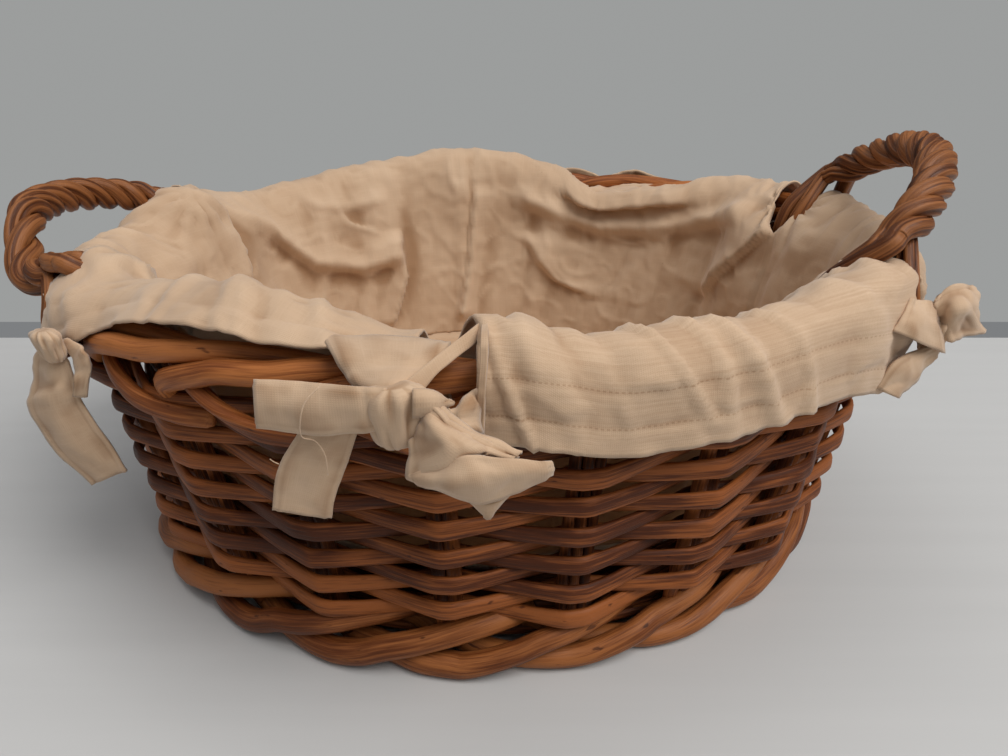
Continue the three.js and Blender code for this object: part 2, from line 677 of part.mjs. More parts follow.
// At the front feet of the handles the knot lies over the outer leg, on a strap each side of the leg
const legKnotOut = LEG_SHOULDER + STRAND_RADIUS + FIT_GAP + KNOT_HALF_DEPTH;
const strapWidth = SLIT_CLEARANCE;
const strapAlong = STRAND_RADIUS + strapWidth / 2 + FIT_GAP;

function legStraps() {
  return [-1, 1].map((side) => [
    [
      [side * strapAlong, tieOver, RIM_CENTRE - knotHeight],
      [side * strapAlong, (tieOver + legKnotOut) / 2, (RIM_CENTRE - knotHeight) / 2],
      [side * strapAlong * 0.7, legKnotOut, 0],
    ],
    strapWidth,
    1,
    0,
  ]);
}

const RIGHT_RIBBONS = [
  ...legStraps(),
  [[[0, legKnotOut, 0], [-10, legKnotOut + 2, -16], [-22, legKnotOut, -36]], TIE_WIDTH, 1, 0],
  [[[0, legKnotOut, 0], [20, legKnotOut + 3, 2], [42, legKnotOut, 0]], TIE_WIDTH, 0, 1],
];
const LEFT_RIBBONS = [
  ...legStraps(),
  [[[0, legKnotOut, 0], [4, legKnotOut + 2, -30], [2, legKnotOut, -64]], TIE_WIDTH, 1, 0],
  [[[0, legKnotOut, 0], [14, legKnotOut + 3, -8], [26, legKnotOut, -22]], TIE_WIDTH, 0.4, 1],
];
bow("bow_right", footShares[0], knotHeight, legKnotOut, RIGHT_RIBBONS);
bow("bow_left", footShares[3], knotHeight, legKnotOut, LEFT_RIBBONS);

const box = new THREE.Box3().setFromObject(basket);
const middle = box.getCenter(new THREE.Vector3());
basket.position.set(-middle.x, -middle.y, 0);

export default basket;
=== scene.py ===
"""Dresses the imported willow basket: smooth willow rods, a draped cotton lining and tied bows.

Shapes are worked out in millimetres in the frame of the basket body, and every mesh is made in metres.
A place on the wall is a share of the way round (0 to 1, anticlockwise from +X), a height and a distance
out from the middle of the wall, as in the CAD.
"""
import math

import bpy
import numpy as np
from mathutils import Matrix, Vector, noise as perlin


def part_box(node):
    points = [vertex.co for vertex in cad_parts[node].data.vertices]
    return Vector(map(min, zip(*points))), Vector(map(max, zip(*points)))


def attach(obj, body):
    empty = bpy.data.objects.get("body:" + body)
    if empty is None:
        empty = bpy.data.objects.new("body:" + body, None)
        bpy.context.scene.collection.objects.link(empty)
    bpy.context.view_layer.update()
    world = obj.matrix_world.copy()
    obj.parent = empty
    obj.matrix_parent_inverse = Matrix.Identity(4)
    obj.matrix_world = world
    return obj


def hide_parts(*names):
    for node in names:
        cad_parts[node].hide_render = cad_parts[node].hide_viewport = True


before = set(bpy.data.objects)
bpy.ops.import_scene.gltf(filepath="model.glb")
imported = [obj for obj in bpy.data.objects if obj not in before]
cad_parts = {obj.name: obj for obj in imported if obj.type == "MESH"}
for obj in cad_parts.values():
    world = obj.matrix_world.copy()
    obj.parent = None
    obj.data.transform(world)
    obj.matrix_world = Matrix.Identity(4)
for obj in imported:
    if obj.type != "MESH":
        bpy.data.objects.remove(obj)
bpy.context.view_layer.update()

# The wall, the same as in the CAD
RIM_A, RIM_B = 204.0, 170.0
FOOT_A, FOOT_B = 179.0, 146.0
RIM_HEIGHT = 161.0
RIM_TILT = 7.0
STAKES = 20
STAKE_SHIFT = 0.72
ROWS = 14
FOOT_TOP = 28.8
RIM_UNDERSIDE = 136.5
RIM_CENTRE = 149.0
ROW_PITCH = (RIM_UNDERSIDE - FOOT_TOP) / ROWS

mat_low, mat_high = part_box("base_mat")
CENTRE = np.array([(mat_low.x + mat_high.x) * 500, (mat_low.y + mat_high.y) * 500, 0.0])

rng = np.random.default_rng(7)

RIM_STEPS = 2880
angles = np.linspace(0, math.tau, RIM_STEPS + 1)
middles = (angles[1:] + angles[:-1]) / 2
speeds = np.hypot(RIM_A * np.sin(middles), RIM_B * np.cos(middles))
lengths = np.concatenate([[0], np.cumsum(speeds) * (math.tau / RIM_STEPS)])
RIM_LENGTH = lengths[-1]
SPACING = RIM_LENGTH / STAKES


def angle_at(share):
    return np.interp((np.asarray(share) % 1) * RIM_LENGTH, lengths, angles)


def share_at(degrees):
    return np.interp(math.radians(degrees) % math.tau, angles, lengths) / RIM_LENGTH


def rim_distance(shares, place):
    """Millimetres along the rim from a place on it, less than 0 before it."""
    return ((shares - place + 0.5) % 1 - 0.5) * RIM_LENGTH


def wall(share, height, out):
    """Points on or beside the wall, in millimetres in the basket's frame."""
    share, height, out = np.broadcast_arrays(
        np.asarray(share, float), np.asarray(height, float), np.asarray(out, float)
    )
    angle = angle_at(share)
    grown = height / RIM_HEIGHT
    a = FOOT_A + (RIM_A - FOOT_A) * grown
    b = FOOT_B + (RIM_B - FOOT_B) * grown
    nx, ny = np.cos(angle) / a, np.sin(angle) / b
    size = np.hypot(nx, ny)
    x = a * np.cos(angle) + nx / size * out
    y = b * np.sin(angle) + ny / size * out
    z = height * (1 + RIM_TILT / RIM_HEIGHT * np.cos(angle))
    return np.stack([x, y, z], axis=-1)


def wall_normals(shares, height=80.0):
    return wall(shares, height, 1.0) - wall(shares, height, 0.0)


def stake_share(stake):
    return (stake + STAKE_SHIFT) / STAKES


def ease(part):
    """Runs smoothly from 0 to 1 as the part does, and stays there."""
    part = np.clip(part, 0, 1)
    return part * part * (3 - 2 * part)


def hump(apart, width):
    """1 at 0, and less the further apart, to both sides."""
    return np.exp(-((apart / width) ** 2))


NOISE_KNOTS = 512


def smooth_noise(values, scale, seed):
    """Smooth random values from -1 to 1 along a line of positions."""
    knots = np.random.default_rng(seed).uniform(-1, 1, NOISE_KNOTS)
    place = (np.asarray(values, float) / scale + 100) % (NOISE_KNOTS - 1)
    low = np.floor(place).astype(int)
    part = ease(place - low)
    return knots[low] * (1 - part) + knots[low + 1] * part


def unit(vectors):
    return vectors / np.linalg.norm(vectors, axis=-1, keepdims=True)


def distances(points):
    """How far along its line each point is."""
    steps = np.linalg.norm(np.diff(points, axis=0), axis=-1)
    return np.concatenate([np.zeros((1, *steps.shape[1:])), np.cumsum(steps, axis=0)])


def spline(values, count):
    """Resamples rows of control values to that many rows, on a smooth curve through them."""
    values = np.asarray(values, float)
    ends = np.concatenate([2 * values[:1] - values[1:2], values, 2 * values[-1:] - values[-2:-1]])
    place = np.linspace(0, len(values) - 1, count)
    i = np.minimum(place.astype(int), len(values) - 2)
    t = (place - i).reshape((-1,) + (1,) * (values.ndim - 1))
    p0, p1, p2, p3 = ends[i], ends[i + 1], ends[i + 2], ends[i + 3]
    square = 2 * p0 - 5 * p1 + 4 * p2 - p3
    cube = 3 * p1 - p0 - 3 * p2 + p3
    return 0.5 * (2 * p1 + (p2 - p0) * t + square * t**2 + cube * t**3)


CURVE_STEPS = 24  # from knot to knot, before the points are spaced evenly


def along_curve(knots, spacing):
    """A smooth curve through rows of numbers, with points about that far apart in the first three."""
    points = spline(knots, CURVE_STEPS * (len(knots) - 1) + 1)
    place = distances(points[:, :3])
    wanted = np.linspace(0, place[-1], max(4, int(round(place[-1] / spacing))) + 1)
    return np.stack([np.interp(wanted, place, column) for column in points.T], axis=1)


# The photograph's view: its focal length in pixels, its slope and its place in the basket's frame
PHOTO_FOCAL = 757.0
PHOTO_MIDDLE = (504.0, 378.0)
PHOTO_SLOPE = math.radians(25.15)
PHOTO_EYE = np.array([8.8, -406.0, 264.0])
LINING_OUT = -16.0


def photo_pixels(points):
    away = np.asarray(points, float) - PHOTO_EYE
    depth = away[..., 1] * math.cos(PHOTO_SLOPE) - away[..., 2] * math.sin(PHOTO_SLOPE)
    up = away[..., 1] * math.sin(PHOTO_SLOPE) + away[..., 2] * math.cos(PHOTO_SLOPE)
    return np.stack([
        PHOTO_MIDDLE[0] + PHOTO_FOCAL * away[..., 0] / depth,
        PHOTO_MIDDLE[1] - PHOTO_FOCAL * up / depth,
    ], axis=-1)


def seen_at(x, y, across):
    """The point that shows at a pixel, in the upright plane at that y."""
    right = (x - PHOTO_MIDDLE[0]) / PHOTO_FOCAL
    up = (PHOTO_MIDDLE[1] - y) / PHOTO_FOCAL
    ray = np.array([
        right,
        math.cos(PHOTO_SLOPE) + up * math.sin(PHOTO_SLOPE),
        up * math.cos(PHOTO_SLOPE) - math.sin(PHOTO_SLOPE),
    ])
    return PHOTO_EYE + ray * (across - PHOTO_EYE[1]) / ray[1]


def seen_inside(pixels):
    """Places on the lining's far side, as [mm along the rim, height], that show at the pixels."""
    shares, heights = np.meshgrid(np.linspace(-0.05, 0.52, 1200), np.linspace(48, 182, 90))
    points = wall(shares, heights, LINING_OUT)
    inwards = points - wall(shares, heights, LINING_OUT + 1)
    hidden = np.sum(inwards * (PHOTO_EYE - points), axis=-1) <= 0
    flat = photo_pixels(points)
    places = []
    for x, y in pixels:
        apart = np.hypot(flat[..., 0] - x, flat[..., 1] - y) + 1e6 * hidden
        i = np.unravel_index(np.argmin(apart), apart.shape)
        places.append((shares[i] * RIM_LENGTH, heights[i]))
    return np.array(places)


def new_object(name, data):
    made = bpy.data.objects.new(name, data)
    bpy.context.scene.collection.objects.link(made)
    return made


ROD_STEP = (311.7, 17.3)  # how far apart the rods take their grain, along and across


class Build:
    """Gathers the rods or sheets of one piece, with their faces and named point values."""

    rods = 0

    def __init__(self):
        self.points = []
        self.faces = []
        self.values = {}
        self.count = 0

    def add(self, points, faces, **values):
        """Adds points in rows or grids, with a number or three numbers at each of them."""
        points = np.reshape(points, (-1, 3))
        self.points.append(points)
        self.faces += [tuple(i + self.count for i in face) for face in faces]
        self.count += len(points)
        for name, value in values.items():
            self.values.setdefault(name, []).append(np.reshape(value, (len(points), -1)))

    def add_rod(self, points, faces, along, across, up, tone):
        """Adds a rod's rings of points, each rod with other grain than the ones before."""
        Build.rods += 1
        grain = np.empty(points.shape)
        grain[:, :, 0] = along[:, None] + Build.rods * ROD_STEP[0]
        grain[:, :, 1] = across + Build.rods * ROD_STEP[1]
        grain[:, :, 2] = up
        self.add(points, faces, grain=grain, tone=np.broadcast_to(tone, points.shape[:2]))

    def make(self, name, material, nodes=()):
        mesh = bpy.data.meshes.new(name)
        points = (np.vstack(self.points) + CENTRE) / 1000
        mesh.from_pydata(points.tolist(), [], self.faces)
        for key, value in self.values.items():
            value = np.concatenate(value)
            kind, field = ("FLOAT_VECTOR", "vector") if value.shape[1] == 3 else ("FLOAT", "value")
            mesh.attributes.new(key, kind, "POINT").data.foreach_set(field, value.ravel())
        mesh.polygons.foreach_set("use_smooth", [True] * len(mesh.polygons))
        mesh.materials.append(material)
        mesh.update()
        piece = new_object(name, mesh)
        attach(piece, "root")
        if nodes:
            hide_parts(*nodes)
        return piece


def ring_faces(rings, sides):
    faces = []
    for i in range(rings - 1):
        for j in range(sides):
            a, b = i * sides + j, i * sides + (j + 1) % sides
            faces.append((a, b, b + sides, a + sides))
    faces.append(tuple(range(sides))[::-1])
    faces.append(tuple((rings - 1) * sides + j for j in range(sides)))
    return faces


def turns(sides):
    """Angles all the way round."""
    return np.linspace(0, math.tau, sides, endpoint=False)


def tube(path, first, second, x, y):
    """Rings of points round a path: x along the first of its normals and y along the second."""
    return path[:, None, :] + x[:, :, None] * first[:, None, :] + y[:, :, None] * second[:, None, :]


ROUND = np.column_stack([np.cos(turns(12)), np.sin(turns(12))])
ROUND_8 = np.column_stack([np.cos(turns(8)), np.sin(turns(8))])
# The section of a split rod: [out, up], flat inside, with a sharp lower edge
HALF_ROUND = np.array([
    (-0.9, -0.7), (-0.3, -0.98), (0.45, -1.0), (0.86, -0.9), (1.0, -0.62), (0.98, -0.1), (0.84, 0.45),
    (0.5, 0.86), (0.0, 1.0), (-0.6, 0.92), (-0.92, 0.62), (-1.0, 0.0),
])


def sweep(build, path, hints, width, height, section, tone=None, roll=0.0, blunt=1.6):
    """A rod along a path of points. Its section's first axis leans towards the hints."""
    tangents = unit(np.gradient(path, axis=0))
    side = unit(hints - np.sum(hints * tangents, axis=1)[:, None] * tangents)
    up = np.cross(tangents, side)
    roll = np.broadcast_to(roll, len(path))[:, None]
    x = np.cos(roll) * side + np.sin(roll) * up
    y = np.cos(roll) * up - np.sin(roll) * side
    place = distances(path)
    # Blunt, slightly rounded ends
    round_off = np.clip(np.minimum(place, place[-1] - place) / blunt, 0, 1)
    shrink = 0.72 + 0.28 * np.sqrt(1 - (1 - round_off) ** 2)
    u = section[:, 0] * (width * shrink / 2)[:, None]
    v = section[:, 1] * (height * shrink / 2)[:, None]
    if tone is None:
        tone = rng.uniform(0, 1)
    build.add_rod(tube(path, x, y, u, v), ring_faces(*u.shape), place, u, v, tone)


# Materials


def fill(made, inputs):
    """Sets each of a node's inputs, by name or number, to a value or links another node's output to it."""
    for key, value in inputs.items():
        if isinstance(value, bpy.types.NodeSocket):
            made.id_data.links.new(value, made.inputs[key])
        else:
            made.inputs[key].default_value = value


def node(nodes, kind, inputs=None, **settings):
    made = nodes.new("ShaderNode" + kind)
    for key, value in settings.items():
        setattr(made, key, value)
    fill(made, inputs or {})
    return made


def new_material(name):
    material = bpy.data.materials.new(name)
    material.use_nodes = True
    nodes = material.node_tree.nodes
    return material, nodes, nodes["Principled BSDF"]


def attribute(nodes, name, output):
    return node(nodes, "Attribute", attribute_name=name).outputs[output]


def stretched_noise(nodes, place, stretch, detail, distortion=0.0, scale=1.0):
    mapping = node(nodes, "Mapping", {"Vector": place, "Scale": stretch})
    settings = {"Scale": scale, "Detail": detail, "Distortion": distortion}
    return node(nodes, "TexNoise", {"Vector": mapping.outputs["Vector"], **settings}).outputs["Fac"]


def maths(nodes, operation, *values):
    return node(nodes, "Math", dict(enumerate(values)), operation=operation).outputs[0]


def mapped(nodes, value, low, high, to_low=0.0, to_high=1.0):
    """Turns the range from low to high into another one, and stops at its ends."""
    limits = {"From Min": low, "From Max": high, "To Min": to_low, "To Max": to_high}
    return node(nodes, "MapRange", {"Value": value, **limits}).outputs[0]


def ramp(nodes, value, *stops):
    made = node(nodes, "ValToRGB", {"Fac": value})
    elements = made.color_ramp.elements
    while len(elements) < len(stops):
        elements.new(0.5)
    for element, (place, colour) in zip(elements, stops):
        element.position = place
        element.color = (*colour, 1)
    return made.outputs["Color"]


def tinted(nodes, colour, factor, by):
    """A colour times another one, as far as the factor says."""
    inputs = {"Factor": factor, "A": colour, "B": by}
    return node(nodes, "Mix", inputs, data_type="RGBA", blend_type="MULTIPLY").outputs["Result"]


def bump(nodes, height, strength, distance):
    inputs = {"Height": height, "Strength": strength, "Distance": distance}
    return node(nodes, "Bump", inputs).outputs["Normal"]


WHITE, BLACK = (1, 1, 1), (0, 0, 0)
SPOT_COLOUR = (0.16, 0.1, 0.08, 1)
FLECK_COLOUR = (0.45, 0.33, 0.24, 1)
STITCH_COLOUR = (0.8, 0.74, 0.68, 1)
# Painted shade with the willow's reflected brown, on the cloth behind the willow
BEHIND_WILLOW_SHADE_COLOUR = (0.82, 0.52, 0.3, 1)


def willow_material(name, dark, middle, light, roughness):
    material, nodes, shader = new_material(name)
    grain = attribute(nodes, "grain", "Vector")
    streaks = stretched_noise(nodes, grain, (0.035, 0.9, 0.9), 4.0, 0.3)
    fibres = stretched_noise(nodes, grain, (0.08, 3.2, 3.2), 3.0)
    patches = stretched_noise(nodes, grain, (0.022, 0.12, 0.12), 2.0)
    spots = stretched_noise(nodes, grain, (0.1, 0.3, 0.3), 2.0)

    shade = maths(nodes, "MULTIPLY_ADD", patches, 0.55, 0.225)
    for value, weight in ((streaks, 0.6), (attribute(nodes, "tone", "Fac"), 0.3), (fibres, 0.34)):
        shade = maths(nodes, "MULTIPLY_ADD", value, weight, shade)
    # Edges that stand out are painted lighter: a painted highlight along them
    highlit_edges = node(nodes, "NewGeometry").outputs["Pointiness"]
    shade = maths(nodes, "ADD", shade, mapped(nodes, highlit_edges, 0.53, 0.62, 0.0, 0.2))
    shade = mapped(nodes, shade, 0.745, 1.46)
    colour = ramp(nodes, shade, (0.0, dark), (0.42, middle), (0.72, light), (1.0, light))
    knots = ramp(nodes, spots, (0.0, WHITE), (0.25, WHITE), (0.31, BLACK), (1.0, BLACK))
    fill(shader, {
        "Base Color": tinted(nodes, colour, maths(nodes, "MULTIPLY", knots, 0.75), SPOT_COLOUR),
        "Roughness": mapped(nodes, streaks, 0.0, 1.0, roughness - 0.1, roughness + 0.14),
        "Specular IOR Level": 0.22,
        "Normal": bump(nodes, maths(nodes, "MULTIPLY_ADD", fibres, 0.5, streaks), 0.55, 0.0006),
    })
    return material


STITCH_LINES = (11.0, 25.5)  # millimetres above a hem
NO_EDGE = 99.0
# The tone that marks cloth behind the willow for painted shade and reflected brown
BEHIND_WILLOW_SHADE_TONE = 2


def cotton_material(name, dark, light):
    material, nodes, shader = new_material(name)
    cloth = attribute(nodes, "cloth", "Vector")
    warp_slubs = stretched_noise(nodes, cloth, (1.3, 0.045, 1), 3.0)
    weft_slubs = stretched_noise(nodes, cloth, (0.045, 1.3, 1), 3.0)
    mottle = stretched_noise(nodes, cloth, (0.02, 0.02, 1), 4.0)
    specks = stretched_noise(nodes, cloth, (0.55, 0.55, 1), 1.0)
    bands = []
    for direction in ("X", "Y"):
        waves = {"Vector": cloth, "Scale": 0.42, "Distortion": 0.6, "Detail": 1.0}
        made = node(nodes, "TexWave", waves, wave_type="BANDS", bands_direction=direction)
        bands.append(made.outputs["Fac"])
    threads = maths(nodes, "MAXIMUM", *bands)
    slubs = maths(nodes, "MAXIMUM", warp_slubs, weft_slubs)
    shade = maths(nodes, "MULTIPLY_ADD", mottle, 0.75, maths(nodes, "MULTIPLY", slubs, 0.42))
    colour = ramp(nodes, mapped(nodes, shade, 0.44, 0.82), (0.0, dark), (1.0, light))
    flecks = ramp(nodes, specks, (0.0, WHITE), (0.17, WHITE), (0.2, BLACK), (1.0, BLACK))
    colour = tinted(nodes, colour, maths(nodes, "MULTIPLY", flecks, 0.55), FLECK_COLOUR)

    # Stitched hems: cloth's third value is the distance from the edge, and the dashes lie on two lines
    parts = node(nodes, "SeparateXYZ", {"Vector": cloth}).outputs
    lines = []
    for line_at in STITCH_LINES:
        apart = maths(nodes, "ABSOLUTE", maths(nodes, "SUBTRACT", parts["Z"], line_at))
        lines.append(mapped(nodes, apart, 0.5, 0.1))
    dashes = mapped(nodes, maths(nodes, "SINE", maths(nodes, "MULTIPLY", parts["X"], 2.9)), -0.6, 0.2)
    stitches = maths(nodes, "MULTIPLY", maths(nodes, "MAXIMUM", *lines), dashes)
    colour = tinted(nodes, colour, stitches, STITCH_COLOUR)

    # Painted shade and light: the hollows between the folds are painted darker and warmer, the ridges lighter
    tone = attribute(nodes, "tone", "Fac")
    painted_fold_shade = ramp(nodes, tone, (0.0, (0.6, 0.5, 0.41)), (0.45, (0.93, 0.91, 0.89)), (1.0, WHITE))
    colour = tinted(nodes, colour, 1.0, painted_fold_shade)
    # Behind the willow the cloth is painted darker and browner, at a tone of 2: painted shade with the
    # willow's reflected brown
    colour = tinted(nodes, colour, mapped(nodes, tone, 1, BEHIND_WILLOW_SHADE_TONE), BEHIND_WILLOW_SHADE_COLOUR)
    fill(shader, {
        "Base Color": colour, "Roughness": 0.92, "Specular IOR Level": 0.2,
        "Sheen Weight": 0.25, "Sheen Roughness": 0.5,
        "Normal": bump(nodes, maths(nodes, "MULTIPLY_ADD", slubs, 0.7, threads), 0.22, 0.0003),
    })
    return material


WEAVE = willow_material(
    "willow_weave", (0.018, 0.0043, 0.0012), (0.086, 0.0205, 0.0045), (0.3, 0.09, 0.022), 0.5
)
RODS = willow_material("willow_rods", (0.03, 0.0075, 0.002), (0.14, 0.038, 0.0095), (0.32, 0.11, 0.031), 0.46)
# The rim's rods are the same willow painted lighter: painted light from above
RIM = willow_material("willow_rim_painted_light", (0.045, 0.011, 0.0028), (0.2, 0.056, 0.014), (0.42, 0.145, 0.04), 0.44)
HANDLE = willow_material(
    "willow_handle", (0.03, 0.008, 0.0025), (0.105, 0.031, 0.0088), (0.28, 0.105, 0.034), 0.38
)
COTTON = cotton_material("cotton", (0.53, 0.365, 0.238), (0.62, 0.45, 0.308))


# Willow


STAKE_ENDS = (10, 141)
STAKE_DEPTH = 6.2
STAKE_WIDTHS = {2: 6.6, 3: 5.0}  # by the number of rods side by side


def stakes():
    """Pairs of rods, and at every third place three thinner ones."""
    heights = np.linspace(*STAKE_ENDS, 60)
    for stake in range(STAKES):
        build = Build()
        count = 2 if stake % 3 else 3
        size = STAKE_WIDTHS[count]
        for i in range(count):
            along = (i - (count - 1) / 2) * size * 1.02
            lean = smooth_noise(heights, 60, stake * 5 + i) * 0.4
            shares = stake_share(stake) + (along + lean) / RIM_LENGTH
            sweep(build, wall(shares, heights, 0.0), wall_normals(shares), STAKE_DEPTH, size, ROUND)
        build.make(f"stakes_{stake + 1:02d}", WEAVE, [f"stake_pair_{stake + 1:02d}"])


WEAVER_POINTS = 30  # from stake to stake
WEAVER_TALL = 6.9
WEAVER_THICK = 4.2
WEAVER_OUTSIDE = (7.2, 8.6)  # how far it stands out where it passes a stake outside, and inside
WEAVER_INSIDE = 6.3
WEAVER_ENDS = (0.22, 0.18)  # how far it reaches past its first and last stake, in stake spacings


def weaver_swing(u, row, peaks, gains):
    """How far out a row's weaver is at places in stake spacings, outside every second stake."""
    fine = np.linspace(u[0] - 0.3, u[-1] + 0.3, len(u) * 3)
    base = np.floor(fine).astype(int)
    linear = np.where((base + row) % 2, 1.0, -1.0) * (1 - 2 * (fine - base))
    nearest = np.round(fine).astype(int) % STAKES
    swing = np.clip(linear * gains[nearest], -1, 1)
    swing = np.where(swing > 0, swing * peaks[nearest], swing * WEAVER_INSIDE)
    kernel = np.hanning(9)
    swing = np.convolve(np.pad(swing, 4, mode="edge"), kernel / kernel.sum(), mode="valid")
    return np.interp(u, fine, swing)


def weavers():
    """Each row is two or three rods that end inside, behind a stake."""
    for row in range(ROWS):
        build = Build()
        source = np.random.default_rng(100 + row)
        first = int(source.integers(0, STAKES))
        first += (first + row) % 2
        cuts = [0, 6 + 2 * int(source.integers(0, 2)), 12 + 2 * int(source.integers(0, 3)), STAKES]
        tones = source.uniform(0, 1, 3)
        peaks = source.uniform(*WEAVER_OUTSIDE, STAKES)
        gains = source.uniform(1.0, 1.22, STAKES)
        for i in range(3):
            seed = row * 3 + i
            begin, end = first + cuts[i] - WEAVER_ENDS[0], first + cuts[i + 1] + WEAVER_ENDS[1]
            u = np.linspace(begin, end, int((end - begin) * WEAVER_POINTS))
            out = weaver_swing(u, row, peaks, gains)
            reach = np.abs(out) / 7
            wander = smooth_noise(u, 1.7, 1000 + seed) * 0.55 + smooth_noise(u, 0.6, 2000 + row) * 0.2
            middle = FOOT_TOP + (row + 0.5) * ROW_PITCH + wander * reach
            tall = WEAVER_TALL + 1.5 * np.clip(reach, 0, 1) ** 2 + smooth_noise(u, 2.3, 3000 + seed) * 0.35
            thick = WEAVER_THICK + smooth_noise(u, 3.1, 4000 + seed) * 0.35
            lean = 0.12 + smooth_noise(u, 2.0, 5000 + seed) * 0.09
            # A split rod's sections follow the wall, and lean so that the lower edge stands out
            shrink = 0.7 + 0.3 * np.clip(np.minimum(u - begin, end - u) * SPACING / 2.0, 0, 1)
            section_out = HALF_ROUND[:, 0] * (thick / 2 * shrink)[:, None]
            section_up = HALF_ROUND[:, 1] * (tall / 2 * shrink)[:, None]
            points = wall(
                (stake_share(0) + u / STAKES)[:, None],
                middle[:, None] + section_up,
                out[:, None] + section_out - section_up * lean[:, None],
            )
            faces = [face[::-1] for face in ring_faces(*section_up.shape)]
            build.add_rod(points, faces, (u - begin) * SPACING, section_out, section_up, tones[i])
        build.make(f"woven_row_{row + 1:02d}", WEAVE, [f"weaver_row_{row + 1:02d}"])


BORDER_SPACING = 2.6  # from one section of a rod to the next
BORDER_JITTER = (0.02, 0.35, 0.3)  # of the knots


def border_rods(build, knots, thickness, seed, section=ROUND, flatten=0.9, right_in=0.0):
    """One rod for each stake, along [stake spacings, height, out] knots.

    The border's lower part is drawn in by right_in millimetres at the right of the front.
    """
    source = np.random.default_rng(seed)
    for stake in range(STAKES):
        rows = np.array(knots, float)
        jitter = source.normal(0, 1, rows.shape) * BORDER_JITTER
        jitter[:2] *= 0.5
        rows = (rows + jitter) * [SPACING, 1, 1]
        guide = along_curve(rows, BORDER_SPACING)
        shares = stake_share(stake) + guide[:, 0] / RIM_LENGTH
        narrower = right_in * np.clip(np.cos(angle_at(shares) + 0.6), 0, 1) ** 3
        narrower *= np.clip((38 - guide[:, 1]) / 20, 0, 1)
        path = wall(shares, guide[:, 1], guide[:, 2] - narrower)
        size = thickness * source.uniform(0.95, 1.04)
        place = np.linspace(0, 1, len(path))
        taper = 1.03 - 0.14 * place**2 + 0.03 * smooth_noise(place * 6, 1, seed * 50 + stake)
        path[:, 2] = np.maximum(path[:, 2], size * taper / 2)
        roll = source.uniform(-0.5, 0.5) + 0.5 * smooth_noise(place * 3, 1, seed * 90 + stake)
        sweep(
            build, path, wall_normals(shares), size * flatten * taper, size * taper, section,
            source.uniform(0, 1), roll, blunt=3.0,
        )


FOOT_KNOTS = [
    (-0.55, 27, -9), (-0.3, 18, -9), (-0.05, 10, -6), (0.22, 6.4, -1), (0.5, 6.1, 4), (0.75, 6.1, 8),
    (1.0, 6.2, 10.2), (1.25, 9.3, 10.8), (1.5, 14.4, 10.2), (1.75, 18.6, 8.8), (2.0, 22, 6.5),
    (2.25, 24.8, 3), (2.5, 26.5, -2), (2.7, 27.5, -7),
]
RIM_KNOTS = [
    (-0.14, 122, -2), (-0.06, 129.5, 1), (0.03, 136, 4.8), (0.14, 141.5, 7.2), (0.28, 146.4, 8.4),
    (0.5, 150.8, 8.5), (0.75, 153, 8.2), (1.0, 154.3, 6.7), (1.3, 156, 3.8), (1.6, 156.8, 0),
    (1.9, 155.8, -3.6), (2.25, 152.6, -6.4), (2.6, 148, -7.4), (2.8, 144, -7.6),
]
TAIL_KNOTS = [
    (0.12, 150, -2), (0.3, 146, 4), (0.5, 141, 9), (0.72, 135.6, 12), (0.95, 131, 12), (1.2, 128.4, 9),
    (1.45, 127.4, 5),
]
FOOT_ROD, RIM_ROD, TAIL_ROD = 12.2, 9.8, 8.4
BASE_RINGS = 11
BASE_MIDDLE = 14.5
BASE_WAVES = 13  # how often each ring goes over and under


def base():
    """A woven oval of rings that wave up and down, and rods that fill the foot border from inside."""
    source = np.random.default_rng(17)
    shares = np.linspace(0, 1, 361)
    build = Build()
    for ring in range(BASE_RINGS):
        size = 1 - (ring + 0.5) / BASE_RINGS * 0.86
        wave = 3.2 * np.sin(math.tau * BASE_WAVES * shares + math.pi * ring)
        path = wall(shares, 14.0, -12.0) * size
        path[:, 2] = BASE_MIDDLE + wave * (0.35 + 0.65 * size)
        thick = 0.86 * RIM_B / BASE_RINGS * 0.88
        tone = source.uniform(0, 0.6)
        sweep(build, path[:-4], wall_normals(shares[:-4], 14.0), thick, 6.0, ROUND_8, tone)
    build.make("base_weave", WEAVE, ["base_mat"])
    build = Build()
    for ring in range(4):
        path = wall(shares, 12.0 + 5.2 * ring, -8.0 - 1.5 * (ring % 2))
        sweep(build, path[:-3], wall_normals(shares[:-3]), 6.0, 5.6, ROUND_8, 0.1)
    build.make("foot_filling", WEAVE)


def borders():
    build = Build()
    border_rods(build, FOOT_KNOTS, FOOT_ROD, 11, right_in=6.0)
    build.make("foot_border", RODS, ["foot_border_rod_1", "foot_border_rod_2"])
    build = Build()
    border_rods(build, RIM_KNOTS, RIM_ROD, 12)
    border_rods(build, TAIL_KNOTS, TAIL_ROD, 13, section=HALF_ROUND, flatten=0.7)
    build.make("rim_border", RIM, ["rim_border_rod_1", "rim_border_rod_2"])


# Handles: three bundles of thin rods twisted over an arch, on the same arch and legs as in the CAD
STRAND_RADIUS = 4.2
ROPE_LAY = 4.6  # the strands lie closer together than in the CAD
BORDER_RADIUS = 12.8
LEG_OUT = BORDER_RADIUS + STRAND_RADIUS + 0.3
LEG_SPREAD = (STRAND_RADIUS + 0.6) / (1 - (LEG_OUT + STRAND_RADIUS) / (RIM_B**2 / RIM_A))
OUTER_LEG, INNER_LEG = 28, 45  # how far down the legs reach from the rim
ROPE_FOOT = RIM_CENTRE + LEG_OUT + 6.35
ROPE_START = 0.06
ROPE_TURNS = 4
ROPE_STEPS = 40
STRANDS = 3


def foot_share(side, y):
    angle = math.degrees(math.asin(y / RIM_B))
    return float(share_at(angle if side > 0 else 180 - angle))


# [name, side, shares of its two feet, reach, rise, half the arch's angle, drop near the front foot]
HANDLES = [
    ("left", -1, (foot_share(-1, -84), foot_share(-1, 54)), 42.5, 14, math.radians(81), 17),
    ("right", 1, (foot_share(1, -102), foot_share(1, 46)), 32, 28, math.radians(66), 0),
]


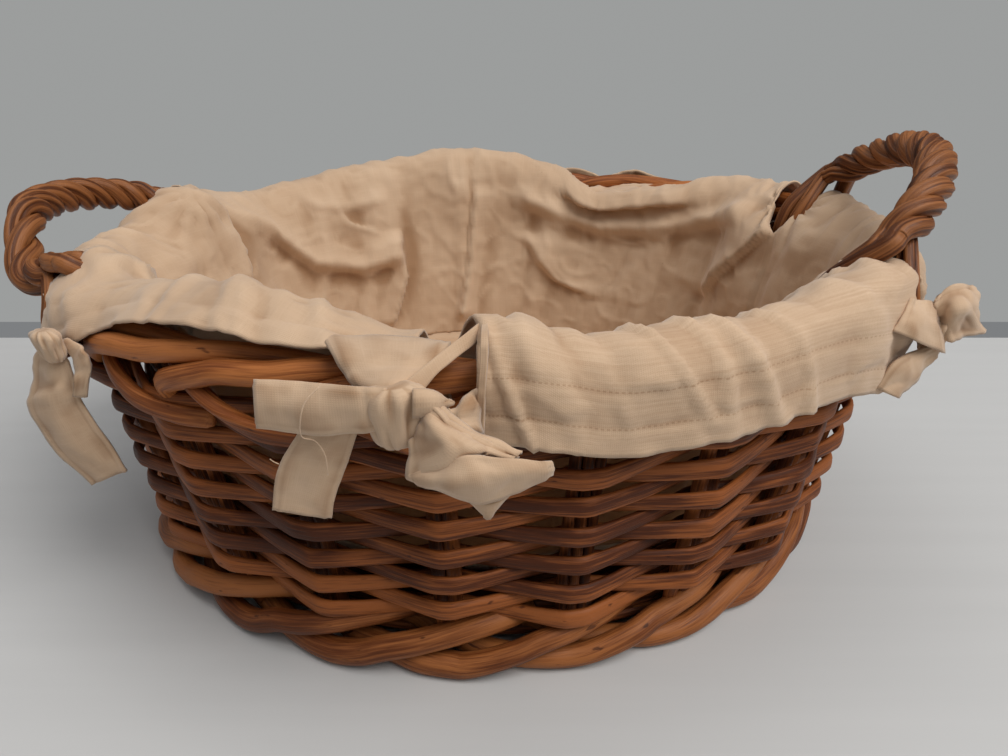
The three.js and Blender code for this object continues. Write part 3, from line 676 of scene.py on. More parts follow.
def strand_path(side, shares, reach, rise, arch_angle, drop, index):
    feet = [wall(share, ROPE_FOOT, 0) for share in shares]
    middle = (feet[0] + feet[1]) / 2
    across = (feet[1] - feet[0]) / 2
    lean = np.array([side * reach, 0.0, rise])

    def arch(s):
        angle = (2 * s - 1) * arch_angle
        lowered = drop * math.sin(math.pi * min(1, s / 0.42)) ** 2
        level = math.cos(arch_angle)
        return (
            middle + np.array([side * 0.25 * lowered, 0, -lowered])
            + across * math.sin(angle) / math.sin(arch_angle)
            + lean * (math.cos(angle) - level) / (1 - level)
        )

    outer = unit(np.cross(lean, across))
    if outer[2] > 0:
        outer = -outer
    points = []
    for s in np.arange(ROPE_STEPS + 1) / ROPE_STEPS:
        if index == 0 and min(s, 1 - s) < ROPE_START:
            continue
        forward = unit(arch(min(1, s + 0.01)) - arch(max(0, s - 0.01)))
        beside = np.cross(forward, outer)
        turn = np.clip((s - ROPE_START) / (1 - 2 * ROPE_START), 0, 1)
        twist = math.tau * (ROPE_TURNS * turn - index / STRANDS)
        points.append(arch(s) + outer * ROPE_LAY * math.cos(twist) + beside * ROPE_LAY * math.sin(twist))
    # The first strand ends outside the rim's border, and the two others inside it
    spread = [0, LEG_SPREAD, -LEG_SPREAD][index]
    out_side = 1 if index == 0 else -1
    bottom = RIM_HEIGHT - (OUTER_LEG if index == 0 else INNER_LEG)
    shoulder = LEG_OUT * 1.04
    leg = [
        (out_side * shoulder * math.cos(0.7), RIM_CENTRE + shoulder * math.sin(0.7)),
        (out_side * shoulder, RIM_CENTRE),
        (out_side * LEG_OUT, (RIM_CENTRE + bottom) / 2),
        (out_side * LEG_OUT, bottom),
    ]
    front, rear = (
        [wall(share + end * spread / RIM_LENGTH, height, out) for out, height in leg]
        for share, end in zip(shares, (-1, 1))
    )
    return np.array(front[::-1] + points + rear)


def carried_normals(tangents):
    """Normals along a path that don't twist round it."""
    normals = [np.cross(tangents[0], [0.3, 0.8, 0.1])]
    for tangent in tangents:
        normals.append(unit(normals[-1] - tangent * normals[-1].dot(tangent)))
    return np.array(normals[1:])


GROOVES = 6
GROOVE_DEPTH = 1.0
SECTION_POINTS = 36


def handle_strand(build, path, index, source):
    """A bundle of split rods: its round section has shallow grooves that turn slowly."""
    tangents = unit(np.gradient(path, axis=0))
    normals = carried_normals(tangents)
    binormals = np.cross(tangents, normals)
    place = distances(path)
    turn = turns(SECTION_POINTS)[None, :]
    radius = np.full((len(path), SECTION_POINTS), STRAND_RADIUS + 0.35)
    radius += 0.25 * smooth_noise(place, 26, 70 + index)[:, None]
    smooth_radius = radius.copy()
    for groove in range(GROOVES):
        seed = groove + 10 * index
        middle = math.tau * groove / GROOVES + source.uniform(-0.25, 0.25)
        middle += 0.012 * place + 0.3 * smooth_noise(place, 45, 300 + seed)
        depth = GROOVE_DEPTH * (0.62 + 0.38 * smooth_noise(place, 34, 500 + seed))
        apart = (turn - middle[:, None] + math.pi) % math.tau - math.pi
        radius -= depth[:, None] * hump(apart, 0.2)
    from_end = np.minimum(place, place[-1] - place)
    blunt = (0.7 + 0.3 * np.sqrt(np.clip(from_end / 4, 0, 1)))[:, None]
    radius *= blunt
    smooth_radius *= blunt
    x, y = np.cos(turn) * radius, np.sin(turn) * radius
    points = tube(path, normals, binormals, x, y)
    # Darker in the grooves: painted shade between the rods
    tone = source.uniform(0.6, 1) - 1.1 * np.maximum(smooth_radius - radius, 0)
    build.add_rod(points, ring_faces(*x.shape), place, x * 1.4, y * 1.4, tone)


def handles():
    for name, side, *shape in HANDLES:
        for index in range(STRANDS):
            build = Build()
            path = along_curve(strand_path(side, *shape, index), 1.3)
            handle_strand(build, path, index, np.random.default_rng(40 + index + 3 * (side > 0)))
            strand = f"{name}_handle_strand_{index + 1}"
            build.make(f"{name}_handle_bundle_{index + 1}", HANDLE, [strand])


stakes()
weavers()
base()
borders()
handles()

# The cotton lining: a bag inside, with its edge turned down over the rim
FEET = [*HANDLES[1][2], *HANDLES[0][2][::-1]]
FRONT_GAP = float(share_at(math.degrees(-math.acos(-14 / RIM_A))))
BACK_GAP = float(share_at(math.degrees(math.acos(75 / RIM_A))))
SEAM_HEIGHT = 50.0
# [share, where the cut starts up the cloth, how far its two edges draw back]. An edge overlaps below 0.
CUTS = [
    (FEET[0] % 1, 0.60, -2, 9),
    (FEET[1] % 1, 0.53, 8, 24),
    (BACK_GAP, 0.85, 8, 8),
    (FEET[2] % 1, 0.66, 9, 8),
    (FEET[3] % 1, 0.66, 6, -1),
    (FRONT_GAP, 0.60, 9, 14),
]
FLAP_NAMES = ["front_right", "right_end", "back_right", "back_left", "left_end", "front_left"]
CLOTH_SPACING = 2.4
CLOTH_THICKNESS = 1.1
ROW_COUNT = 96

# [share, crest height, hem height], anticlockwise from the right front handle foot
EDGE_HEIGHTS = [
    (-0.098, 170, 121), (-0.085, 168, 124), (-0.069, 166, 126), (-0.030, 165, 125), (0.0175, 166, 124),
    (0.040, 167, 126), (0.062, 166, 128), (0.091, 166, 127), (0.108, 164, 138), (0.125, 160, 152),
    (0.150, 156, 155), (0.178, 153, 154), (0.190, 157, 154), (0.205, 165, 138), (0.226, 172, 127),
    (0.245, 177, 126), (0.270, 180, 125), (0.2885, 179, 126), (0.320, 175, 128), (0.3445, 173, 126),
    (0.370, 169.5, 124), (0.401, 167, 126), (0.431, 174, 127), (0.448, 178, 128), (0.461, 173, 127),
    (0.482, 167, 124), (0.509, 166, 122), (0.540, 167, 124), (0.568, 168, 129), (0.590, 171, 140),
    (0.618, 174, 160), (0.646, 178, 168), (0.663, 180, 170), (0.687, 176, 167), (0.706, 171, 166.5),
    (0.716, 167, 165), (0.726, 163.5, 163.5), (0.7368, 163, 163), (0.7376, 163, 163),
    (0.7388, 172.5, 138), (0.7396, 173, 137), (0.750, 173, 135), (0.762, 172, 133), (0.773, 168, 130),
    (0.785, 166, 126), (0.800, 167.5, 125), (0.816, 165.5, 125.5), (0.835, 164.5, 126),
    (0.855, 165.5, 127.5), (0.876, 168, 126),
]
# How far the cloth has slipped inwards, by share: 0 hangs outside, 1 ends on top of the rim
SLIPPED = [
    (-0.098, 0), (0.09, 0), (0.108, 0.35), (0.125, 0.9), (0.15, 1), (0.178, 1), (0.190, 0.9),
    (0.205, 0.35), (0.225, 0), (0.56, 0), (0.585, 0.25), (0.612, 0.8), (0.64, 1), (0.70, 1),
    (0.7368, 1), (0.7376, 1), (0.7388, 0.1), (0.7396, 0.1), (0.752, 0), (0.876, 0),
]


def around(table, shares, column):
    """Values from a table of shares, smoothly joined all the way round."""
    rows = np.array(table, float)
    place = np.concatenate([rows[-3:, 0] - 1, rows[:, 0], rows[:3, 0] + 1])
    value = np.concatenate([rows[-3:, column], rows[:, column], rows[:3, column]])
    slope = np.gradient(value, place)
    wanted = (np.asarray(shares, float) - rows[0, 0]) % 1 + rows[0, 0]
    i = np.clip(np.searchsorted(place, wanted, side="right") - 1, 0, len(place) - 2)
    span = place[i + 1] - place[i]
    t = (wanted - place[i]) / span
    return (
        (2 * t**3 - 3 * t**2 + 1) * value[i]
        + (t**3 - 2 * t**2 + t) * span * slope[i]
        + (-2 * t**3 + 3 * t**2) * value[i + 1]
        + (t**3 - t**2) * span * slope[i + 1]
    )


def slipped(shares):
    return np.clip(around(SLIPPED, shares, 1), 0, 1)


SEED_STEP = 7.31
CLOUD_GAIN = 1.6


def cloud(u, v, size, seed):
    """Smooth noise over the cloth, about -1 to 1, with lumps of that many millimetres."""
    place = np.stack(np.broadcast_arrays(u / size, v / size, seed * SEED_STEP), axis=-1)
    values = [perlin.noise(Vector(row)) for row in place.reshape(-1, 3)]
    return np.array(values).reshape(place.shape[:-1]) * CLOUD_GAIN


def creases(u, v, size, seed):
    """Narrow ridges along the zero lines of smooth noise, 0 to 1."""
    return np.clip(1 - np.abs(cloud(u, v, size, seed)) * 3.2, 0, 1)


def painted_fold_tone(lift, window=7):
    """Painted light and shade: lighter on the ridges and darker in the hollows of the cloth, 0 to 1."""
    smooth = lift
    for axis in (0, 1):
        ends = [(0, 0), (0, 0)]
        ends[axis] = (window, window)
        sums = np.cumsum(np.pad(smooth, ends, mode="edge"), axis=axis)
        low = np.arange(lift.shape[axis])
        smooth = (np.take(sums, low + 2 * window, axis=axis) - np.take(sums, low, axis=axis)) / (2 * window)
    return np.clip(0.55 + 0.22 * (lift - smooth), 0, 1)


def on_cloth(u, v, hem=NO_EDGE):
    """Places on the cloth, and how far from a stitched hem they are, for its material."""
    return np.stack(np.broadcast_arrays(u, v, hem), axis=-1)


def grid_normals(grid):
    normals = np.cross(np.gradient(grid, axis=1), np.gradient(grid, axis=0))
    return normals / np.maximum(np.linalg.norm(normals, axis=2), 1e-9)[:, :, None]


RIGHT_END = -0.055  # the share where the cloth hangs close to the rim
HEM_OUT, SLIPPED_HEM_OUT = 19.5, 5.5
SLIPPED_CREST_IN = 18
COVER_TOP, COVER_REACH = 180, 17  # the crest over the left handle's feet, and how far it runs beside them
BULGE = 10.5


def lining_profiles(shares):
    """The line that the cloth follows at each share, as [knot, share, (out, height)]."""
    crest = around(EDGE_HEIGHTS, shares, 1)
    hem = around(EDGE_HEIGHTS, shares, 2)
    slip = slipped(shares)
    close = hump(rim_distance(shares, RIGHT_END), 0.035 * RIM_LENGTH)
    hem_out = (HEM_OUT - 4 * close) * (1 - slip) + SLIPPED_HEM_OUT * slip
    # Near the handles' feet the bag stands in from the wall, and it covers the left handle's legs
    near = np.min([np.abs(rim_distance(shares, foot)) for foot in FEET], axis=0)
    bulge = BULGE * ease((62 - near) / 30)
    cover = np.max([hump(rim_distance(shares, foot), COVER_REACH) for foot in FEET[2:]], axis=0)
    top = crest + (COVER_TOP - crest) * cover
    crest_out = -SLIPPED_CREST_IN * slip - 5 * cover
    inside = LINING_OUT - 0.2 - 3.0 * slip - 4 * cover
    lines = [
        (inside - 1.5 - 0.2 * bulge, SEAM_HEIGHT),
        (inside - 3 - 0.5 * bulge, 76),
        (inside - 2 - bulge, 104),
        (inside - bulge, 128),
        (inside + 0.4 - 0.9 * bulge - 2 * slip, 146),
        (crest_out - 12.5 - 0.35 * bulge - 4 * cover, top - 10 - 3 * cover),
        (crest_out - 7 - 4 * cover, top - 2.2 - 1.5 * cover),
        (crest_out, top),
    ]
    for part, out, drop in ((0.25, 8.5, 3.2), (0.5, 14.8, 10.5), (0.75, 17.4, 19)):
        lines.append((
            (1 - slip) * out * (1 - 0.2 * close) + slip * (crest_out + (hem_out - crest_out) * part),
            (1 - slip) * (crest - drop) + slip * (crest + (hem - crest) * part**1.4),
        ))
    lines.append((hem_out, hem))
    return np.stack([np.stack(np.broadcast_arrays(*line), axis=-1) for line in lines])


FOLD_DEPTH = 1.3
ACROSS_FADE, UPRIGHT_FADE = 14, 9  # how long a fold takes to begin and end
# The lining's folds, at pixels of the photograph: [kind, amount, sharp side, soft side, pixels]. An
# upright fold is sharp to the left or to the right, and one that runs across is sharp below.
FOLDS = [
    ("across", 8, 6, 26, [
        (183, 193), (229, 213), (263, 227), (289, 248), (309, 262), (360, 264), (399, 252),
    ]),
    ("right", 5, 2, 16, [(188, 196), (213, 216), (229, 248), (233, 280)]),
    ("right", 6, 2, 13, [(398, 235), (396, 250), (404, 275), (397, 300), (391, 322)]),
    ("left", 5, 1.8, 11, [(477, 190), (474, 215), (470, 265), (461, 313)]),
    ("across", 7, 7, 13, [(520, 196), (560, 208), (600, 224), (660, 224), (720, 216), (760, 208)]),
    ("left", 4, 5, 24, [(528, 236), (545, 260), (561, 278), (590, 290)]),
    ("right", 5, 3, 20, [(788, 226), (750, 258), (714, 290)]),
    ("left", 2.6, 2, 5, [(447, 156), (450, 175), (455, 192)]),
    ("right", 2.6, 2, 5, [(462, 156), (463, 175), (466, 198)]),
    ("left", 2.4, 2, 6, [(480, 158), (476, 175), (474, 190)]),
    ("right", 3, 2.5, 9, [(330, 205), (345, 222), (372, 232)]),
    ("across", 3, 4, 10, [(295, 195), (315, 206), (345, 207), (380, 200)]),
]


def photo_folds(u, height):
    """How far the folds that the photograph shows stand in from the far wall."""
    lift = np.zeros(u.shape)
    for kind, amount, sharp, soft, pixels in FOLDS:
        line = seen_inside(pixels)
        if kind == "across":
            line = line[np.argsort(line[:, 0])]
            apart = height - np.interp(u, line[:, 0], line[:, 1])
            place, ends, fade = u, line[[0, -1], 0], ACROSS_FADE
        else:
            line = line[np.argsort(line[:, 1])]
            apart = u - np.interp(height, line[:, 1], line[:, 0])
            apart = apart if kind == "right" else -apart
            place, ends, fade = height, line[[0, -1], 1], UPRIGHT_FADE
        inside = np.clip((place - ends[0]) / fade + 0.5, 0, 1) * np.clip((ends[1] - place) / fade + 0.5, 0, 1)
        shape = np.where(apart > 0, np.exp(-np.abs(apart) / soft), hump(apart, sharp))
        lift += FOLD_DEPTH * amount * inside * shape
    return lift


def lining_grid(shares):
    """The lining's lines over a row of shares, its distances up the cloth, and how long it is there."""
    line = spline(lining_profiles(shares), ROW_COUNT * 4)
    place = distances(line)
    length = place[-1]
    v = np.linspace(0, 1, ROW_COUNT)[:, None] * length
    profile = np.empty((ROW_COUNT, len(shares), 2))
    for j in range(len(shares)):
        for k in range(2):
            profile[:, j, k] = np.interp(v[:, j], place[:, j], line[:, j, k])
    return profile, v, length


def hem_relief(u, v, to_hem):
    """A hem of double cloth, drawn in along its two lines of stitches."""
    puckers = 0.3 * cloud(u, v * 0.2, 4.5, 9)
    lift = 0.5 * (to_hem < STITCH_LINES[0])
    for line_at in STITCH_LINES:
        lift = lift + puckers * hump(to_hem - line_at, 3.5) - 0.5 * hump(to_hem - line_at, 1.4)
    return lift


CUT_SLOPE = 0.14  # the share of the cloth's length over which a cut opens
CUT_REACH = 26  # how far from a cut its edge is drawn back
STRAND_SIDE = 22  # how far out the handle's outer strand reaches
GATHERED_AT = 0.62  # the share of the cloth's length where the gathers meet
GATHERS, GATHER_DEPTH, GATHER_REACH = 9, 1.7, 26


def flap_grid(start_cut, end_cut, columns):
    """The bag between two cuts: its points and, at each, the place on the cloth and the tone of its painted
    fold shade.
    """
    start, start_part, _, half = start_cut
    end, end_part, end_half, _ = end_cut
    span = (end - start) % 1
    shares = start + np.linspace(0, span, columns + 1)
    # The cloth on the two sides of a cut may follow different lines
    profile, v, length = lining_grid(np.clip(shares, start + 0.0013, start + span - 0.0013) % 1)
    u = np.broadcast_to(shares * RIM_LENGTH, v.shape)
    part = np.linspace(0, 1, ROW_COUNT)[:, None]
    from_start = (shares - start)[None, :] * RIM_LENGTH
    from_end = (start + span - shares)[None, :] * RIM_LENGTH
    opened = np.sqrt(np.clip((part - start_part) / CUT_SLOPE, 0, 1)) * np.exp(-from_start / CUT_REACH)
    end_opened = np.sqrt(np.clip((part - end_part) / CUT_SLOPE, 0, 1)) * np.exp(-from_end / CUT_REACH)
    shift = opened * half - end_opened * end_half
    out, height = profile[:, :, 0], profile[:, :, 1]
    # An overlapping edge passes outside the handle's outer strand
    overlap = np.clip(1.6 * (opened * (half < 0) + end_opened * (end_half < 0)), 0, 1)
    strand_side = STRAND_SIDE - 0.4 * np.maximum(height - 146, 0)
    out = out + overlap * np.maximum(strand_side - out, 0) * np.clip((out + 2) / 12, 0, 1)
    points = wall(shares[None, :] + shift / RIM_LENGTH, height, out)

    over = np.clip((part - 0.5) / 0.2, 0, 1)
    front = np.clip(0.5 - 1.6 * np.sin(angle_at(shares)), 0, 1)[None, :]
    slip = slipped(shares % 1)[None, :]
    # Inside: soft upright folds. Over the rim: slanting ripples. Everywhere: small crumples.
    upright = cloud(u, v * 0.3, 34, 1) * 2.0 + creases(u + v * 0.2, v * 0.28, 52, 2) * 2.2
    upright += photo_folds(u % RIM_LENGTH, height)
    slanted = cloud(u - v * 0.4, v * 0.25, 15, 3) * 1.7
    slanted += creases(u - v * 0.45, v * 0.2, 25, 4) * 3.4 - 1.6
    slanted *= (0.3 + 0.7 * front) * (1 - 0.75 * overlap)
    small = cloud(u, v, 11, 5) * 0.6 + creases(u, v, 16, 8) * 0.8 + cloud(u, v, 5, 6) * 0.22
    # Gathers run together where a handle's foot comes through the cloth
    gaps = (BACK_GAP, FRONT_GAP)
    near = np.minimum(from_start + 60 * (start in gaps), from_end + 60 * (end in gaps))
    above = (part - GATHERED_AT) * length[None, :]
    gathers = np.cos(np.arctan2(near, above) * GATHERS + 0.6 * small)
    gathers *= GATHER_DEPTH * np.exp(-np.hypot(near, above) / GATHER_REACH)
    lift = np.clip(part / 0.08, 0, 1) * (1 - over) * (upright + 0.3)
    lift += over * (slanted + 0.3) * (1 - 0.35 * slip) + small + gathers
    lift = np.maximum(lift, -0.5 - 0.9 * over * front)
    if end == FRONT_GAP:
        lift *= 1 - 0.85 * np.exp(-from_end / 35)
    to_hem = length[None, :] - v
    lift += hem_relief(u, v, to_hem)
    # Only the flap at the right of the front gap shows its stitches
    cloth = on_cloth(u, v, to_hem if start == FRONT_GAP else NO_EDGE)
    # The tone is painted shade in the folds' hollows and painted light on their ridges
    return points - grid_normals(points) * lift[:, :, None], cloth, painted_fold_tone(lift)


def lining():
    points, places, tones, faces, index = [], [], [], [], {}
    cuts = sorted(CUTS)
    for number, cut in enumerate(cuts):
        last = (number + 1) % len(cuts)
        columns = int(round((cuts[last][0] - cut[0]) % 1 * RIM_LENGTH / CLOTH_SPACING))
        grid, cloth, tone = flap_grid(cut, cuts[last], columns)
        for i, part in enumerate(np.linspace(0, 1, ROW_COUNT)):
            for j in range(columns + 1):
                # Below a cut the sheets on its two sides share their points
                edge = None
                if j == 0 and part <= cut[1]:
                    edge = (i, number)
                if j == columns and part <= cuts[last][1]:
                    edge = (i, last)
                if edge in index:
                    index[(number, i, j)] = index[edge]
                    continue
                index[(number, i, j)] = len(points)
                if edge:
                    index[edge] = len(points)
                points.append(grid[i, j])
                places.append(cloth[i, j])
                tones.append(tone[i, j])
        for i in range(ROW_COUNT - 1):
            for j in range(columns):
                corners = [(i, j), (i + 1, j), (i + 1, j + 1), (i, j + 1)]
                faces.append(tuple(index[(number, *corner)] for corner in corners))
    build = Build()
    build.add(points, faces, cloth=places, tone=tones)
    nodes = ["lining_side_panel"] + [f"lining_flap_{name}" for name in FLAP_NAMES]
    piece = build.make("lining_bag", COTTON, nodes)
    thicken(piece)
    paint_shade_outside(piece)


BEHIND_WILLOW_SHADE_TOP = 138


def paint_shade_outside(piece):
    """Marks the outer side of the bag, below the rim, as cloth behind the willow, for painted shade and the
    willow's reflected brown.
    """
    mesh = piece.data
    count = len(mesh.vertices)
    points = np.empty(count * 3)
    mesh.vertices.foreach_get("co", points)
    points = points.reshape(-1, 3)[: count // 2 * 2] * 1000 - CENTRE
    first, second = points[: count // 2], points[count // 2 :]
    outer_is_second = np.hypot(*second[:, :2].T) > np.hypot(*first[:, :2].T)
    rim_size = np.hypot(points[:, 0] / RIM_A, points[:, 1] / RIM_B)
    inside = rim_size < 0.99 - 0.14 * (1 - points[:, 2] / RIM_HEIGHT)
    outer = np.concatenate([~outer_is_second, outer_is_second])
    tones = np.empty(count)
    mesh.attributes["tone"].data.foreach_get("value", tones)
    tones[: len(outer)][outer & inside & (points[:, 2] < BEHIND_WILLOW_SHADE_TOP)] = BEHIND_WILLOW_SHADE_TONE
    mesh.attributes["tone"].data.foreach_set("value", tones)


def thicken(piece):
    """Gives a sheet its thickness, evenly to both sides."""
    solidify = piece.modifiers.new("thickness", "SOLIDIFY")
    solidify.thickness = CLOTH_THICKNESS / 1000
    solidify.offset = 0
    graph = bpy.context.evaluated_depsgraph_get()
    mesh = bpy.data.meshes.new_from_object(piece.evaluated_get(graph))
    piece.modifiers.clear()
    old = piece.data
    piece.data = mesh
    bpy.data.meshes.remove(old)
    mesh.name = piece.name


BOTTOM_RINGS, BOTTOM_TURNS = 60, 300


def bottom_panel():
    """An oval sheet on the base's sticks, whose edge curls up to the bag's seam."""
    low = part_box("lining_bottom_panel")[0].z * 1000
    shares = np.linspace(0, 1, BOTTOM_TURNS, endpoint=False)
    edge = wall(shares, SEAM_HEIGHT, lining_profiles(shares)[0][:, 0] - 0.3)
    sizes = np.linspace(0.02, 1, BOTTOM_RINGS)[:, None]
    lift = np.interp(sizes, [0, 0.64, 0.7, 0.8, 0.92, 0.97, 1], [0, 0, 0.02, 0.14, 0.4, 0.68, 1])
    x = edge[None, :, 0] * sizes
    y = edge[None, :, 1] * sizes
    z = (low + 1.2) * (1 - lift) + edge[None, :, 2] * lift
    folds = cloud(x, y, 42, 11) * 1.2 + creases(x, y, 60, 12) * 2.0 + cloud(x, y, 12, 13) * 0.4
    z = z + np.maximum(folds, -0.3) * np.clip((1 - sizes) / 0.06, 0, 1)
    faces = []
    for i in range(0, (BOTTOM_RINGS - 1) * BOTTOM_TURNS, BOTTOM_TURNS):
        for j in range(BOTTOM_TURNS):
            k = (j + 1) % BOTTOM_TURNS
            faces.append((i + j, i + BOTTOM_TURNS + j, i + BOTTOM_TURNS + k, i + k))
    faces.append(tuple(range(BOTTOM_TURNS)))
    build = Build()
    # The tone paints shade into the folds' hollows and light on their ridges
    build.add(np.stack([x, y, z], axis=-1), faces, cloth=on_cloth(x, y), tone=painted_fold_tone(folds))
    piece = build.make("lining_bottom", COTTON, ["lining_bottom_panel"])
    thicken(piece)


def slab(build, grid, thickness, cloth, tone):
    """A closed sheet of cloth over a grid of points."""
    m, n = grid.shape[:2]
    normals = grid_normals(grid)
    index = np.arange(m * n).reshape(m, n)
    faces = []
    for i in range(m - 1):
        for j in range(n - 1):
            quad = (index[i, j], index[i, j + 1], index[i + 1, j + 1], index[i + 1, j])
            faces.append(quad)
            faces.append(tuple(k + m * n for k in quad[::-1]))
    rim = [*index[0, :-1], *index[:-1, -1], *index[-1, :0:-1], *index[:0:-1, 0]]
    for a, b in zip(rim, rim[1:] + rim[:1]):
        faces.append((b, a, a + m * n, b + m * n))
    sides = [grid + normals * thickness / 2, grid - normals * thickness / 2]
    build.add(sides, faces, cloth=[cloth, cloth], tone=[tone, tone])


RIBBON_THICKNESS = 1.5
RIBBON_SPACING = 1.3


def ribbon(build, rows, place, seed, crumple=0.5):
    """A patch of cloth through rows of points across it, which place turns into points in space."""
    rows = np.array(rows, float)
    length = distances(rows[:, rows.shape[1] // 2])[-1]
    width = distances(rows[len(rows) // 2])[-1]
    m, n = max(8, int(length / RIBBON_SPACING)), max(8, int(width / RIBBON_SPACING))
    base = place(spline(spline(rows, m).swapaxes(0, 1), n).swapaxes(0, 1))
    u, v = np.meshgrid(np.linspace(0, length, m) + seed * 53.0, np.linspace(0, width, n), indexing="ij")
    lift = cloud(u, v, 13, seed) * 1.1 + creases(u, v * 0.6, 18, seed + 40) * 0.8
    lift = (lift + cloud(u, v, 5, seed + 80) * 0.35) * crumple * 1.3
    from_edge = np.minimum(v, width - v)
    lift += 0.35 * (from_edge < 2.4) - 0.35 * hump(from_edge - 3.2, 0.7)
    points = base + grid_normals(base) * lift[:, :, None]
    # Painted shade in the crumples' hollows, and painted light on their ridges
    tone = np.clip(2 * painted_fold_tone(lift, 5) - 0.65, 0, 1)
    slab(build, points, RIBBON_THICKNESS, on_cloth(u, v), tone)


THREAD_RADIUS = 0.22
THREAD_SIDES = 6


def thread(build, pixels):
    """A loose thread through [pixel x, pixel y, y in the frame] points of the photograph."""
    path = along_curve([seen_at(*point) for point in pixels], 1.0)
    depth = np.array([0.0, 1.0, 0.0])
    side = unit(np.cross(np.gradient(path, axis=0), depth))
    turn = turns(THREAD_SIDES)[None, :, None]
    points = path[:, None, :] + THREAD_RADIUS * (np.cos(turn) * side[:, None, :] + np.sin(turn) * depth)
    cloth = on_cloth(points[:, :, 0], points[:, :, 2])
    build.add(points, ring_faces(len(path), THREAD_SIDES), cloth=cloth, tone=np.ones(points.shape[:2]))


KNOT_LEVEL = 145.0
KNOT_RINGS, KNOT_SIDES = 26, 40


def knot(build, share, centre, halves, seed):
    """A tied knot: cloth wrapped round in upright pleats."""
    t = np.linspace(-0.98, 0.98, KNOT_RINGS)[:, None]
    turn = turns(KNOT_SIDES)[None, :]
    u, v = turn * 14 + 0 * t, t * 12 + 0 * turn
    pleats = 0.1 * np.cos(9 * turn + 1.2 * t + seed) + 0.07 * np.cos(14 * turn - t * 2 + 2 * seed)
    pleats += 0.06 * cloud(u, v, 8, seed + 20)
    size = ((1 - np.abs(t) ** 4) ** 0.5 * 0.75 + 0.25) * (0.92 + 0.16 * t) * (1 + pleats)
    along = centre[0] + np.cos(turn) * size * halves[0] * (1 + 0.1 * np.sin(t * 2.0))
    up = centre[1] + (t + 0.05 * np.cos(turn)) * halves[1]
    out = centre[2] + np.sin(turn) * size * halves[2]
    points = wall(share + along / RIM_LENGTH, KNOT_LEVEL + up, out)
    # Painted shade in the pleats' hollows and painted light on their ridges
    tone = np.clip(0.5 + 2.4 * pleats, 0, 1)
    build.add(points, ring_faces(*u.shape), cloth=on_cloth(u, v), tone=tone)


